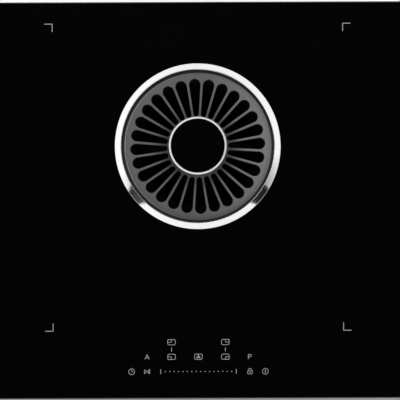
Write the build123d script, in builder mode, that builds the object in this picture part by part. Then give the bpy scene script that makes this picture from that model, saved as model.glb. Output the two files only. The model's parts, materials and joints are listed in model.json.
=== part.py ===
from build123d import *
import os

# Built-in induction cooktop with four zones and a round downdraft vent in the middle.
# The glass covers a shallow tray of coils and electronics. Below it an air housing holds the
# grease filter, a liquid tray and a centrifugal blower that pushes the air out at the rear.
# X points right, Y to the rear, Z up. The origin is on the flat base of the air housing,
# below the middle of the glass. All sizes are in millimetres.

# ---------------------------------------------------------------- driving dimensions
# Glass and tray
glass_width = 830.0
glass_depth = 520.0
glass_thickness = 6.0
glass_corner_radius = 8.0
glass_bevel = 1.6
tray_side_inset = 19.0
tray_end_inset = 20.0
tray_depth = 54.0
tray_sheet = 1.2
tray_corner_radius = 12.0
tray_lip = 8.0
tray_bead_length = 150.0
tray_bead_width = 10.0
tray_bead_height = 2.0
tray_bead_count = 3
tray_bead_spacing = 20.0
tray_bead_y = -192.0
seal_width = 8.0
seal_height = 2.0
seal_gap = 1.0

# Vent in the glass
vent_y = 70.6
trim_outer_radius = 108.4
trim_inner_radius = 99.8
trim_height = 3.4
trim_outer_height = 1.2
trim_neck_wall = 2.0
trim_edge_radius = 0.6
trim_edge_gap = 0.6
collar_gap = 0.4
collar_rim_wall = 2.2
collar_rim_drop = 2.6
collar_flange_width = 12.0
collar_flange_thickness = 3.0
collar_seal_height = 3.0
collar_seal_width = 7.0
throat_radius = 90.0
throat_wall = 2.5
throat_reach = 12.0
throat_seal_width = 3.5
throat_seal_height = 3.5
sump_wall_gap = 2.0

# Grille and its cap
grille_gap = 0.4
grille_recess = 1.0
grille_rim_thickness = 5.0
grille_depth = 11.0
grille_dish = 9.0
grille_rib_depth = 9.0
grille_rim_margin = 1.8
grille_hub_margin = 2.0
grille_edge_width = 2.2
grille_edge_drop = 0.5
grille_edge_slope = 0.9
grille_slot_count = 28
grille_slot_turn = 2.6
grille_slot_outer = 88.6
grille_slot_inner = 40.2
grille_slot_outer_radius = 7.55
grille_slot_inner_radius = 3.55
grille_slot_edge = 0.4
grille_hub_thickness = 4.0
grille_hub_wall = 5.0
cap_radius = 37.4
cap_overhang = 2.6
cap_ring_width = 2.6
cap_ring_slope = 0.9
cap_rise = 11.0
cap_ring_height = 7.0
cap_ring_edge = 0.4
cap_seat_height = 2.6
cap_seat_width = 3.2
cap_disc_thickness = 3.8
cap_disc_gap = 0.2
cap_disc_edge = 0.4

# Grease filter
filter_lip_width = 6.0
filter_lip_height = 2.0
filter_lip_level = 6.0
filter_gap = 0.8
filter_flange = 2.5
filter_depth = 112.0
filter_base_radius = 74.0
filter_wall = 2.4
filter_cup_height = 16.0
filter_cup_lip = 1.6
filter_ring_height = 4.0
filter_band = 8.0
filter_window_count = 6
filter_window_angle = 48.0
filter_mesh_wall = 1.2
filter_mesh_gap = 0.3
filter_mesh_slots = 36
filter_mesh_slot_width = 6.0
filter_mesh_slot_reach = 10.0
filter_handle_width = 12.0
filter_handle_thickness = 3.0
filter_handle_rise = 20.0

# Coils and electronics in the tray
zone_inset = 23.0
zone_width = 204.0
zone_depth = 201.5
zone_middle_y = 29.5
coil_size = 190.0
coil_corner = 34.0
coil_turns = 3
coil_band = 14.0
coil_spacing = 17.0
coil_height = 4.5
coil_top_gap = 4.0
mica_thickness = 1.0
ferrite_height = 4.5
ferrite_width = 14.0
ferrite_length = 62.0
ferrite_count = 8
ferrite_inner_radius = 22.0
carrier_thickness = 2.0
carrier_corner = 8.0
carrier_hole_radius = 14.0
sensor_radius = 9.0
support_radius = 4.0
support_inset = 10.0
board_thickness = 1.6
board_level = 9.0
power_board_width = 152.0
power_board_length = 350.0
board_fan_gap = 4.0
sink_width = 56.0
sink_length = 200.0
sink_height = 20.0
sink_base = 4.0
sink_fin = 2.0
sink_fin_count = 7
board_post_radius = 3.0
board_post_inset = 8.0
board_part_width = 38.0
board_part_length = 58.0
board_part_height = 16.0
board_part_count = 4
board_part_spacing = 87.0
board_part_inset = 38.0
filter_board_width = 170.0
filter_board_length = 84.0
filter_board_y = -108.0
choke_radius = 16.0
choke_bore = 7.0
choke_count = 3
choke_spacing = 57.0
cooling_fan_size = 80.0
cooling_fan_height = 25.0
cooling_fan_gap = 2.0
cooling_fan_y = -186.0
cooling_fan_corner = 6.0
cooling_fan_bore = 37.0
cooling_fan_hub = 15.0
cooling_fan_blades = 7
cooling_fan_chord = 18.0
cooling_fan_blade_angle = 38.0
cooling_fan_blade = 1.4
cooling_fan_tip_gap = 1.5
cooling_fan_base = 3.0
cooling_fan_pin = 2.5
cooling_fan_strut = 4.0
cooling_fan_strut_angle = 45.0
cooling_slot_count = 7
cooling_slot_width = 5.0
exhaust_slot_count = 12
exhaust_slot_spacing = 24.0
exhaust_slot_length = 16.0
exhaust_slot_height = 5.0
control_board_width = 216.0
control_board_length = 52.0
control_y = -206.0
control_level = 6.4
control_holder_thickness = 4.0
control_holder_leg = 5.0
control_holder_frame = 10.0
touch_pad_radius = 4.0
touch_pad_count = 5
touch_pad_spacing = 40.0
touch_row_spacing = 28.0
touch_row_count = 2

# Air housing
housing_height = 150.0
housing_left = 115.0
housing_right = 388.0
housing_front = 125.0
housing_rear = 205.0
housing_wall = 2.5
housing_corner = 11.0
housing_split = 118.0
housing_flange = 9.0
housing_flange_thickness = 3.0
housing_foot_edge = 2.0
housing_rib_thickness = 2.4
housing_rib_reach = 4.0
housing_rib_spacing = 55.0
housing_rib_count = 6
housing_rib_level = 5.0
housing_groove_length = 210.0
housing_groove_width = 7.0
housing_groove_depth = 1.0
housing_groove_spacing = 40.0
housing_groove_count = 6
casing_screw_spacing = 110.0
drawer_left = 96.0
drawer_right = 74.0
drawer_length = 262.0
drawer_height = 30.0
drawer_wall = 2.0
drawer_corner = 6.0
drawer_gap = 0.8
drawer_floor_gap = 0.3
drawer_front = 3.0
drawer_front_overlap = 5.0
drawer_grip_width = 70.0
drawer_grip_depth = 12.0

# Blower
blower_x = 205.0
blower_y = 15.0
blower_level = 12.0
scroll_start_gap = 8.0
scroll_growth = 15.0
scroll_tongue_angle = 65.0
scroll_wall = 2.2
scroll_floor = 2.5
scroll_height = 84.0
scroll_cover = 2.5
scroll_exit_x = 60.0
scroll_exit_lead = 92.0
scroll_exit_reach = 9.0
scroll_nose = 7.0
bell_radius = 62.0
bell_curve = 9.0
bell_wall = 2.0
impeller_radius = 80.0
impeller_eye = 64.0
impeller_height = 70.0
impeller_floor_gap = 4.0
impeller_plate = 2.4
impeller_rim = 3.0
impeller_blades = 32
impeller_blade = 1.4
impeller_blade_bulge = 3.2
impeller_dish_radius = 48.0
impeller_dish_draft = 3.0
impeller_dish_gap = 4.0
impeller_hub_radius = 11.0
impeller_hub_height = 16.0
motor_radius = 40.0
motor_height = 30.0
motor_flange = 8.0
motor_flange_thickness = 3.0
motor_edge = 4.0
shaft_radius = 4.0
shaft_running_gap = 0.05
shaft_end_gap = 0.3
shaft_foot = 3.0
isolator_radius = 8.0
isolator_reach = 74.0
isolator_count = 4
isolator_angle = 45.0

# Outlet
duct_width = 222.0
duct_height = 89.0
duct_wall = 2.2
duct_length = 35.0
duct_corner = 4.0
duct_flange = 10.0
duct_flange_thickness = 3.0
duct_screw_radius = 2.2
duct_screw_spacing = 44.0
flap_count = 2
flap_level = 8.0
flap_thickness = 1.4
flap_barrel = 3.0
flap_pin = 1.5
flap_pin_gap = 0.05
flap_pin_seat = 1.2
flap_side_gap = 0.8
flap_end_gap = 1.0
flap_top_gap = 1.0

# Boxes below the tray, clamps and screws
fan_box_width = 150.0
fan_box_length = 170.0
fan_box_height = 38.0
fan_box_shift = 20.0
fan_box_y = 0.0
fan_box_corner = 8.0
fan_box_groove = 1.5
fan_box_edge = 1.5
terminal_width = 96.0
terminal_length = 84.0
terminal_height = 32.0
terminal_side_inset = 66.0
terminal_end_inset = 48.0
terminal_corner = 5.0
terminal_cover_thickness = 3.0
gland_bore = 7.0
gland_radius = 11.0
gland_length = 16.0
gland_flange_radius = 14.0
gland_flange = 4.0
clamp_width = 30.0
clamp_sheet = 2.0
clamp_height = 34.0
clamp_reach = 18.0
clamp_level = 4.0
clamp_y = 150.0
clamp_screw_radius = 2.5
clamp_screw_gap = 0.3
clamp_screw_length = 40.0
clamp_head_radius = 4.5
clamp_head_height = 3.0
screw_radius = 2.0
screw_gap = 0.2
screw_head_radius = 4.0
screw_head_height = 2.4
lid_screw_inset = 9.0
lid_screw_depth = 1.6
quarter = 90.0
edge_middle = 0.5
level_slope = 0.5

# ---------------------------------------------------------------- derived levels and radii
tray_width = glass_width - 2 * tray_side_inset
tray_length = glass_depth - 2 * tray_end_inset
tray_level = housing_height
glass_level = tray_level + tray_depth
top_level = glass_level + glass_thickness
grille_top = top_level - grille_recess
grille_seat = grille_top - grille_rim_thickness
grille_slope_start = grille_slot_outer + grille_rim_margin
grille_shoulder = grille_slot_inner + grille_hub_margin
grille_boss_radius = cap_radius - cap_overhang
hub_level = grille_top - grille_dish
cap_top = top_level + cap_rise
cap_level = cap_top - cap_ring_height
collar_rim_top = grille_top - collar_rim_drop
collar_rim_radius = trim_inner_radius - collar_gap
collar_recess_radius = collar_rim_radius - collar_rim_wall
collar_flange_top = glass_level - collar_seal_height
collar_flange_radius = collar_rim_radius + collar_flange_width
throat_outer = throat_radius + throat_wall
throat_bottom = tray_level - throat_reach
cutout_radius = trim_inner_radius + trim_neck_wall + trim_edge_gap
grille_radius = collar_recess_radius - grille_gap
grille_spigot_radius = throat_radius - grille_gap
sump_radius = collar_flange_radius + sump_wall_gap
filter_seat = tray_level + filter_lip_level + filter_lip_height
filter_lip_radius = throat_radius - filter_lip_width
filter_top_radius = filter_lip_radius - filter_gap
filter_base = filter_seat - filter_depth
housing_width = housing_left + housing_right
housing_length = housing_front + housing_rear
housing_x = (housing_right - housing_left) / 2
housing_y = (housing_rear - housing_front) / 2
zone_x = glass_width / 2 - zone_inset - zone_width / 2
mica_level = glass_level - coil_top_gap
coil_level = mica_level - mica_thickness - coil_height
ferrite_level = coil_level - ferrite_height
carrier_level = ferrite_level - carrier_thickness
tray_floor = tray_level + tray_sheet
board_base = tray_floor + board_level
board_top = board_base + board_thickness
cooling_fan_x = control_board_width / 2 + cooling_fan_gap + cooling_fan_size / 2
power_board_y = cooling_fan_y + cooling_fan_size / 2 + board_fan_gap + power_board_length / 2
fan_box_x = fan_box_shift - zone_x
terminal_x = terminal_side_inset - tray_width / 2
terminal_y = tray_length / 2 - terminal_end_inset
blower_top = blower_level + scroll_height
blower_floor = blower_level + scroll_floor
duct_x = blower_x + scroll_exit_x
duct_z = (blower_floor + blower_top) / 2
duct_inner_width = duct_width - 2 * duct_wall
duct_inner_height = duct_height - 2 * duct_wall
zone_sides = (("left", -1), ("right", 1))
zone_rows = (("rear", 1), ("front", -1))

# Upright planes that look to the rear. Sketch X is the object's X, sketch Y is its Z.
vent_section = Plane(origin=(0, vent_y, 0), x_dir=(1, 0, 0), z_dir=(0, -1, 0))
blower_section = Plane(origin=(blower_x, blower_y, 0), x_dir=(1, 0, 0), z_dir=(0, -1, 0))
vent_axis = Axis((0, vent_y, 0), (0, 0, 1))
blower_axis = Axis((blower_x, blower_y, 0), (0, 0, 1))

os.makedirs("parts", exist_ok=True)

# ---------------------------------------------------------------- glass and its seal
with BuildPart() as glass_top:
    with BuildSketch(Plane.XY.offset(glass_level)):
        RectangleRounded(glass_width, glass_depth, glass_corner_radius)
        with Locations((0, vent_y)):
            Circle(cutout_radius, mode=Mode.SUBTRACT)
    extrude(amount=glass_thickness)
    chamfer(glass_top.faces().sort_by(Axis.Z)[-1].outer_wire().edges(), glass_bevel)
glass_top.part.label = "glass_top"
export_step(glass_top.part, "parts/glass_top.step")

seal_outer_width = tray_width + 2 * (tray_lip + seal_gap + seal_width)
seal_outer_length = tray_length + 2 * (tray_lip + seal_gap + seal_width)
seal_outer_radius = tray_corner_radius + tray_lip + seal_gap
with BuildPart() as worktop_seal:
    with BuildSketch(Plane.XY.offset(glass_level - seal_height)):
        RectangleRounded(seal_outer_width, seal_outer_length, glass_corner_radius)
        RectangleRounded(
            seal_outer_width - 2 * seal_width,
            seal_outer_length - 2 * seal_width,
            seal_outer_radius,
            mode=Mode.SUBTRACT,
        )
    extrude(amount=seal_height)
worktop_seal.part.label = "worktop_seal"
export_step(worktop_seal.part, "parts/worktop_seal.step")

# ---------------------------------------------------------------- vent ring, collar and seals
with BuildPart() as vent_trim_ring:
    with BuildSketch(vent_section) as trim_profile:
        with BuildLine():
            Polyline(
                (trim_inner_radius, collar_flange_top),
                (trim_inner_radius + trim_neck_wall, collar_flange_top),
                (trim_inner_radius + trim_neck_wall, top_level),
                (trim_outer_radius, top_level),
                (trim_outer_radius, top_level + trim_outer_height),
                (trim_inner_radius, top_level + trim_height),
                close=True,
            )
        make_face()
        fillet(trim_profile.vertices().group_by(Axis.Y)[-2:], trim_edge_radius)
    revolve(axis=vent_axis)
vent_trim_ring.part.label = "vent_trim_ring"
export_step(vent_trim_ring.part, "parts/vent_trim_ring.step")

# The collar carries the grille on its ledge and the grease filter on the lip inside its throat.
with BuildPart() as inlet_collar:
    with BuildSketch(vent_section):
        with BuildLine():
            Polyline(
                (throat_radius, throat_bottom),
                (throat_outer, throat_bottom),
                (throat_outer, collar_flange_top - collar_flange_thickness),
                (collar_flange_radius, collar_flange_top - collar_flange_thickness),
                (collar_flange_radius, collar_flange_top),
                (collar_rim_radius, collar_flange_top),
                (collar_rim_radius, collar_rim_top),
                (collar_recess_radius, collar_rim_top),
                (collar_recess_radius, grille_seat),
                (throat_radius, grille_seat),
                (throat_radius, filter_seat),
                (filter_lip_radius, filter_seat),
                (filter_lip_radius, filter_seat - filter_lip_height),
                (throat_radius, filter_seat - filter_lip_height),
                close=True,
            )
        make_face()
    revolve(axis=vent_axis)
inlet_collar.part.label = "inlet_collar"
export_step(inlet_collar.part, "parts/inlet_collar.step")

# One seal lies between the collar's flange and the glass, the other round the throat.
with BuildPart() as collar_seals:
    with BuildSketch(Plane.XY.offset(collar_flange_top)):
        with Locations((0, vent_y)):
            Circle(collar_flange_radius)
            Circle(collar_flange_radius - collar_seal_width, mode=Mode.SUBTRACT)
    extrude(amount=collar_seal_height)
    with BuildSketch(Plane.XY.offset(tray_level - housing_wall - throat_seal_height)):
        with Locations((0, vent_y)):
            Circle(throat_outer + throat_seal_width)
            Circle(throat_outer, mode=Mode.SUBTRACT)
    extrude(amount=throat_seal_height)
collar_seals.part.label = "collar_seals"
export_step(collar_seals.part, "parts/collar_seals.step")

# ---------------------------------------------------------------- grille and cap
# One tapered slot, drawn as the hull of its two end circles.
with BuildSketch() as slot_outline:
    with Locations((grille_slot_outer - grille_slot_outer_radius, 0)):
        Circle(grille_slot_outer_radius)
    with Locations((grille_slot_inner + grille_slot_inner_radius, 0)):
        Circle(grille_slot_inner_radius)
    make_hull()

# The spokes slope down from the rim to a sunken hub, whose boss carries the cap.
grille_bottom = grille_top - grille_depth
grille_step = grille_top - grille_edge_drop
rib_foot = hub_level - grille_rib_depth
hub_underside = hub_level - grille_hub_thickness
with BuildPart() as grille:
    with BuildSketch(vent_section):
        with BuildLine():
            Polyline(
                (0, hub_underside),
                (grille_slot_inner - grille_hub_wall, hub_underside),
                (grille_slot_inner - grille_hub_wall, rib_foot),
                (grille_shoulder, rib_foot),
                (grille_spigot_radius, grille_bottom),
                (grille_spigot_radius, grille_seat),
                (grille_radius, grille_seat),
                (grille_radius, grille_step - grille_edge_slope),
                (grille_radius - grille_edge_width, grille_step),
                (grille_radius - grille_edge_width, grille_top),
                (grille_slope_start, grille_top),
                (grille_shoulder, hub_level),
                (grille_boss_radius, hub_level),
                (grille_boss_radius, cap_level),
                (0, cap_level),
                close=True,
            )
        make_face()
    revolve(axis=vent_axis)
    with BuildSketch(Plane.XY.offset(rib_foot)):
        with Locations((0, vent_y)):
            with PolarLocations(0, grille_slot_count, start_angle=quarter + grille_slot_turn):
                add(slot_outline.sketch)
    extrude(amount=grille_top - rib_foot, mode=Mode.SUBTRACT)
    slot_rims = grille.edges(Select.LAST)
    upper_edges = slot_rims.filter_by(lambda edge: edge.center().Z > grille_bottom + grille_slot_edge)
    slot_edges = upper_edges.filter_by(lambda edge: abs(edge.tangent_at(edge_middle).Z) < level_slope)
    chamfer(slot_edges, grille_slot_edge)
grille.part.label = "grille"
export_step(grille.part, "parts/grille.step")

cap_inner_radius = cap_radius - cap_ring_width
with BuildPart() as cap_ring:
    with BuildSketch(vent_section) as cap_profile:
        with BuildLine():
            Polyline(
                (cap_inner_radius - cap_seat_width, cap_level),
                (cap_radius, cap_level),
                (cap_radius, cap_top - cap_ring_slope),
                (cap_inner_radius, cap_top),
                (cap_inner_radius, cap_level + cap_seat_height),
                (cap_inner_radius - cap_seat_width, cap_level + cap_seat_height),
                close=True,
            )
        make_face()
        fillet(cap_profile.vertices().group_by(Axis.Y)[-2:], cap_ring_edge)
    revolve(axis=vent_axis)
cap_ring.part.label = "cap_ring"
export_step(cap_ring.part, "parts/cap_ring.step")

with BuildPart() as cap_disc:
    with BuildSketch(Plane.XY.offset(cap_level + cap_seat_height)):
        with Locations((0, vent_y)):
            Circle(cap_inner_radius - cap_disc_gap)
    extrude(amount=cap_disc_thickness)
    chamfer(cap_disc.edges().group_by(Axis.Z)[-1], cap_disc_edge)
cap_disc.part.label = "cap_disc"
export_step(cap_disc.part, "parts/cap_disc.step")

# ---------------------------------------------------------------- grease filter
# A tapered basket with windows for the air, over a closed cup that holds liquid.
cup_top = filter_base + filter_cup_height
window_bottom = cup_top + filter_ring_height
window_top = filter_seat - filter_band
filter_slope = (filter_top_radius - filter_base_radius) / filter_depth


def basket_radius(level):
    """Outer radius of the tapered basket at a height."""
    return filter_base_radius + filter_slope * (level - filter_base)


mesh_bottom_radius = basket_radius(window_bottom) - filter_wall - filter_mesh_gap
with BuildSketch() as filter_window:
    with BuildLine():
        window_arc = CenterArc((0, 0), throat_radius, -filter_window_angle / 2, filter_window_angle)
        Line((0, 0), window_arc @ 0)
        Line((0, 0), window_arc @ 1)
    make_face()
    Circle(mesh_bottom_radius, mode=Mode.SUBTRACT)

with BuildPart() as filter_frame:
    with BuildSketch(vent_section):
        with BuildLine():
            Polyline(
                (basket_radius(cup_top), cup_top),
                (filter_top_radius, filter_seat),
                (throat_radius - filter_gap, filter_seat),
                (throat_radius - filter_gap, filter_seat + filter_flange),
                (filter_top_radius - filter_wall, filter_seat + filter_flange),
                (filter_top_radius - filter_wall, filter_seat),
                (basket_radius(cup_top) - filter_wall, cup_top),
                close=True,
            )
        make_face()
    revolve(axis=vent_axis)
    with BuildSketch(Plane.XY.offset(window_bottom)):
        with Locations((0, vent_y)):
            with PolarLocations(0, filter_window_count):
                add(filter_window.sketch)
    extrude(amount=window_top - window_bottom, mode=Mode.SUBTRACT)
filter_frame.part.label = "filter_frame"
export_step(filter_frame.part, "parts/filter_frame.step")

with BuildPart() as filter_cup:
    with BuildSketch(vent_section):
        with BuildLine():
            Polyline(
                (0, filter_base),
                (filter_base_radius, filter_base),
                (basket_radius(cup_top - filter_cup_lip), cup_top - filter_cup_lip),
                (basket_radius(cup_top) + filter_cup_lip, cup_top - filter_cup_lip),
                (basket_radius(cup_top) + filter_cup_lip, cup_top),
                (basket_radius(cup_top) - filter_wall, cup_top),
                (filter_base_radius - filter_wall, filter_base + filter_wall),
                (0, filter_base + filter_wall),
                close=True,
            )
        make_face()
    revolve(axis=vent_axis)
filter_cup.part.label = "filter_cup"
export_step(filter_cup.part, "parts/filter_cup.step")

mesh_top_radius = basket_radius(filter_seat) - filter_wall - filter_mesh_gap
mesh_foot_radius = basket_radius(filter_base + filter_wall) - filter_wall - filter_mesh_gap
with BuildPart() as filter_mesh:
    with BuildSketch(vent_section):
        with BuildLine():
            Polyline(
                (mesh_foot_radius, filter_base + filter_wall),
                (mesh_top_radius, filter_seat),
                (mesh_top_radius - filter_mesh_wall, filter_seat),
                (mesh_foot_radius - filter_mesh_wall, filter_base + filter_wall),
                close=True,
            )
        make_face()
    revolve(axis=vent_axis)
    with BuildSketch(Plane.XY.offset(window_bottom)):
        with Locations((0, vent_y)):
            with PolarLocations(mesh_bottom_radius, filter_mesh_slots):
                Rectangle(filter_mesh_slot_reach, filter_mesh_slot_width)
    extrude(amount=window_top - window_bottom, mode=Mode.SUBTRACT)
filter_mesh.part.label = "filter_mesh"
export_step(filter_mesh.part, "parts/filter_mesh.step")

handle_span = filter_top_radius - filter_wall
handle_level = filter_seat + filter_flange
with BuildPart() as filter_handle:
    with BuildSketch(vent_section):
        with BuildLine():
            arch = ThreePointArc(
                (-handle_span, handle_level),
                (0, handle_level + filter_handle_rise),
                (handle_span, handle_level),
            )
            Line(arch @ 1, (handle_span + filter_handle_thickness, handle_level))
            outer_arch = ThreePointArc(
                (handle_span + filter_handle_thickness, handle_level),
                (0, handle_level + filter_handle_rise + filter_handle_thickness),
                (-handle_span - filter_handle_thickness, handle_level),
            )
            Line(outer_arch @ 1, arch @ 0)
        make_face()
    extrude(amount=filter_handle_width / 2, both=True)
filter_handle.part.label = "filter_handle"
export_step(filter_handle.part, "parts/filter_handle.step")

# ---------------------------------------------------------------- tray under the glass
with BuildPart() as induction_tray:
    with BuildSketch(Plane.XY.offset(tray_level)):
        RectangleRounded(tray_width, tray_length, tray_corner_radius)
    extrude(amount=tray_depth)
    with BuildSketch(Plane.XY.offset(glass_level - tray_sheet)):
        RectangleRounded(
            tray_width + 2 * tray_lip, tray_length + 2 * tray_lip, tray_corner_radius + tray_lip
        )
    extrude(amount=tray_sheet)
    with BuildSketch(Plane.XY.offset(tray_floor)):
        RectangleRounded(
            tray_width - 2 * tray_sheet, tray_length - 2 * tray_sheet, tray_corner_radius - tray_sheet
        )
        with Locations((0, vent_y)):
            Circle(sump_radius + tray_sheet, mode=Mode.SUBTRACT)
    extrude(amount=tray_depth, mode=Mode.SUBTRACT)
    with BuildSketch(Plane.XY.offset(tray_floor)):
        with Locations((0, vent_y)):
            Circle(sump_radius)
    extrude(amount=tray_depth, mode=Mode.SUBTRACT)
    with BuildSketch(Plane.XY.offset(tray_level)):
        with Locations((0, vent_y)):
            Circle(throat_outer + sump_wall_gap)
        slot_pitch = 2 * cooling_fan_bore / cooling_slot_count
        for side in (-1, 1):
            with Locations((side * cooling_fan_x, cooling_fan_y)):
                with GridLocations(slot_pitch, 0, cooling_slot_count, 1):
                    Rectangle(cooling_slot_width, 2 * cooling_fan_hub)
    extrude(amount=tray_sheet, mode=Mode.SUBTRACT)
    with BuildSketch(Plane.XZ.offset(-tray_length / 2)):
        with Locations((0, tray_level + tray_depth / 2)):
            with GridLocations(exhaust_slot_spacing, 0, exhaust_slot_count, 1):
                Rectangle(exhaust_slot_length, exhaust_slot_height)
    extrude(amount=2 * tray_sheet, both=True, mode=Mode.SUBTRACT)
    # Beads pressed up into the floor stiffen it in front of the boards.
    with BuildSketch(Plane.XY.offset(tray_floor)):
        with Locations((0, tray_bead_y)):
            with GridLocations(2 * zone_x, tray_bead_spacing, 2, tray_bead_count):
                SlotOverall(tray_bead_length, tray_bead_width)
    extrude(amount=tray_bead_height)
    with BuildSketch(Plane.XY.offset(tray_level)):
        with Locations((0, tray_bead_y)):
            with GridLocations(2 * zone_x, tray_bead_spacing, 2, tray_bead_count):
                SlotOverall(tray_bead_length - 2 * tray_sheet, tray_bead_width - 2 * tray_sheet)
    extrude(amount=tray_bead_height, mode=Mode.SUBTRACT)
induction_tray.part.label = "induction_tray"
export_step(induction_tray.part, "parts/induction_tray.step")

# ---------------------------------------------------------------- coils, one set for each zone
turn_widths = [coil_size - 2 * turn * coil_spacing for turn in range(coil_turns)]
support_reach = coil_size - 2 * support_inset
for row_name, row in zone_rows:
    for side_name, side in zone_sides:
        zone_name = f"{row_name}_{side_name}"
        coil_place = (side * zone_x, zone_middle_y + row * zone_depth / 2)
        with BuildPart() as coil_carrier:
            with BuildSketch(Plane.XY.offset(carrier_level)):
                with Locations(coil_place):
                    RectangleRounded(coil_size, coil_size, carrier_corner)
                    Circle(carrier_hole_radius, mode=Mode.SUBTRACT)
            extrude(amount=carrier_thickness)
        coil_carrier.part.label = f"coil_carrier_{zone_name}"
        export_step(coil_carrier.part, f"parts/coil_carrier_{zone_name}.step")

        with BuildPart() as coil_ferrites:
            with BuildSketch(Plane.XY.offset(ferrite_level)):
                with Locations(coil_place):
                    with PolarLocations(ferrite_inner_radius + ferrite_length / 2, ferrite_count):
                        Rectangle(ferrite_length, ferrite_width)
            extrude(amount=ferrite_height)
        coil_ferrites.part.label = f"coil_ferrites_{zone_name}"
        export_step(coil_ferrites.part, f"parts/coil_ferrites_{zone_name}.step")

        # The winding lies round the middle as flat bands of litz wire.
        with BuildPart() as coil_winding:
            with BuildSketch(Plane.XY.offset(coil_level)):
                with Locations(coil_place):
                    for width in turn_widths:
                        inner = width - 2 * coil_band
                        RectangleRounded(width, width, coil_corner * width / coil_size)
                        RectangleRounded(
                            inner, inner, coil_corner * inner / coil_size, mode=Mode.SUBTRACT
                        )
            extrude(amount=coil_height)
        coil_winding.part.label = f"coil_winding_{zone_name}"
        export_step(coil_winding.part, f"parts/coil_winding_{zone_name}.step")

coil_places = [
    (side * zone_x, zone_middle_y + row * zone_depth / 2) for _, row in zone_rows for _, side in zone_sides
]
with BuildPart() as mica_sheets:
    with BuildSketch(Plane.XY.offset(mica_level - mica_thickness)):
        with Locations(*coil_places):
            RectangleRounded(coil_size, coil_size, coil_corner)
            Circle(sensor_radius + support_inset, mode=Mode.SUBTRACT)
    extrude(amount=mica_thickness)
mica_sheets.part.label = "mica_sheets"
export_step(mica_sheets.part, "parts/mica_sheets.step")

with BuildPart() as glass_sensors:
    with BuildSketch(Plane.XY.offset(carrier_level + carrier_thickness)):
        with Locations(*coil_places):
            Circle(carrier_hole_radius + carrier_thickness)
    extrude(amount=carrier_thickness)
    with BuildSketch(Plane.XY.offset(carrier_level + 2 * carrier_thickness)):
        with Locations(*coil_places):
            Circle(sensor_radius)
    extrude(amount=glass_level - carrier_level - 2 * carrier_thickness)
glass_sensors.part.label = "glass_sensors"
export_step(glass_sensors.part, "parts/glass_sensors.step")

with BuildPart() as coil_supports:
    with BuildSketch(Plane.XY.offset(tray_floor)):
        for coil_place in coil_places:
            with Locations(coil_place):
                with GridLocations(support_reach, support_reach, 2, 2):
                    RegularPolygon(support_radius, 6)
    extrude(amount=carrier_level - tray_floor)
coil_supports.part.label = "coil_supports"
export_step(coil_supports.part, "parts/coil_supports.step")

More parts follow.
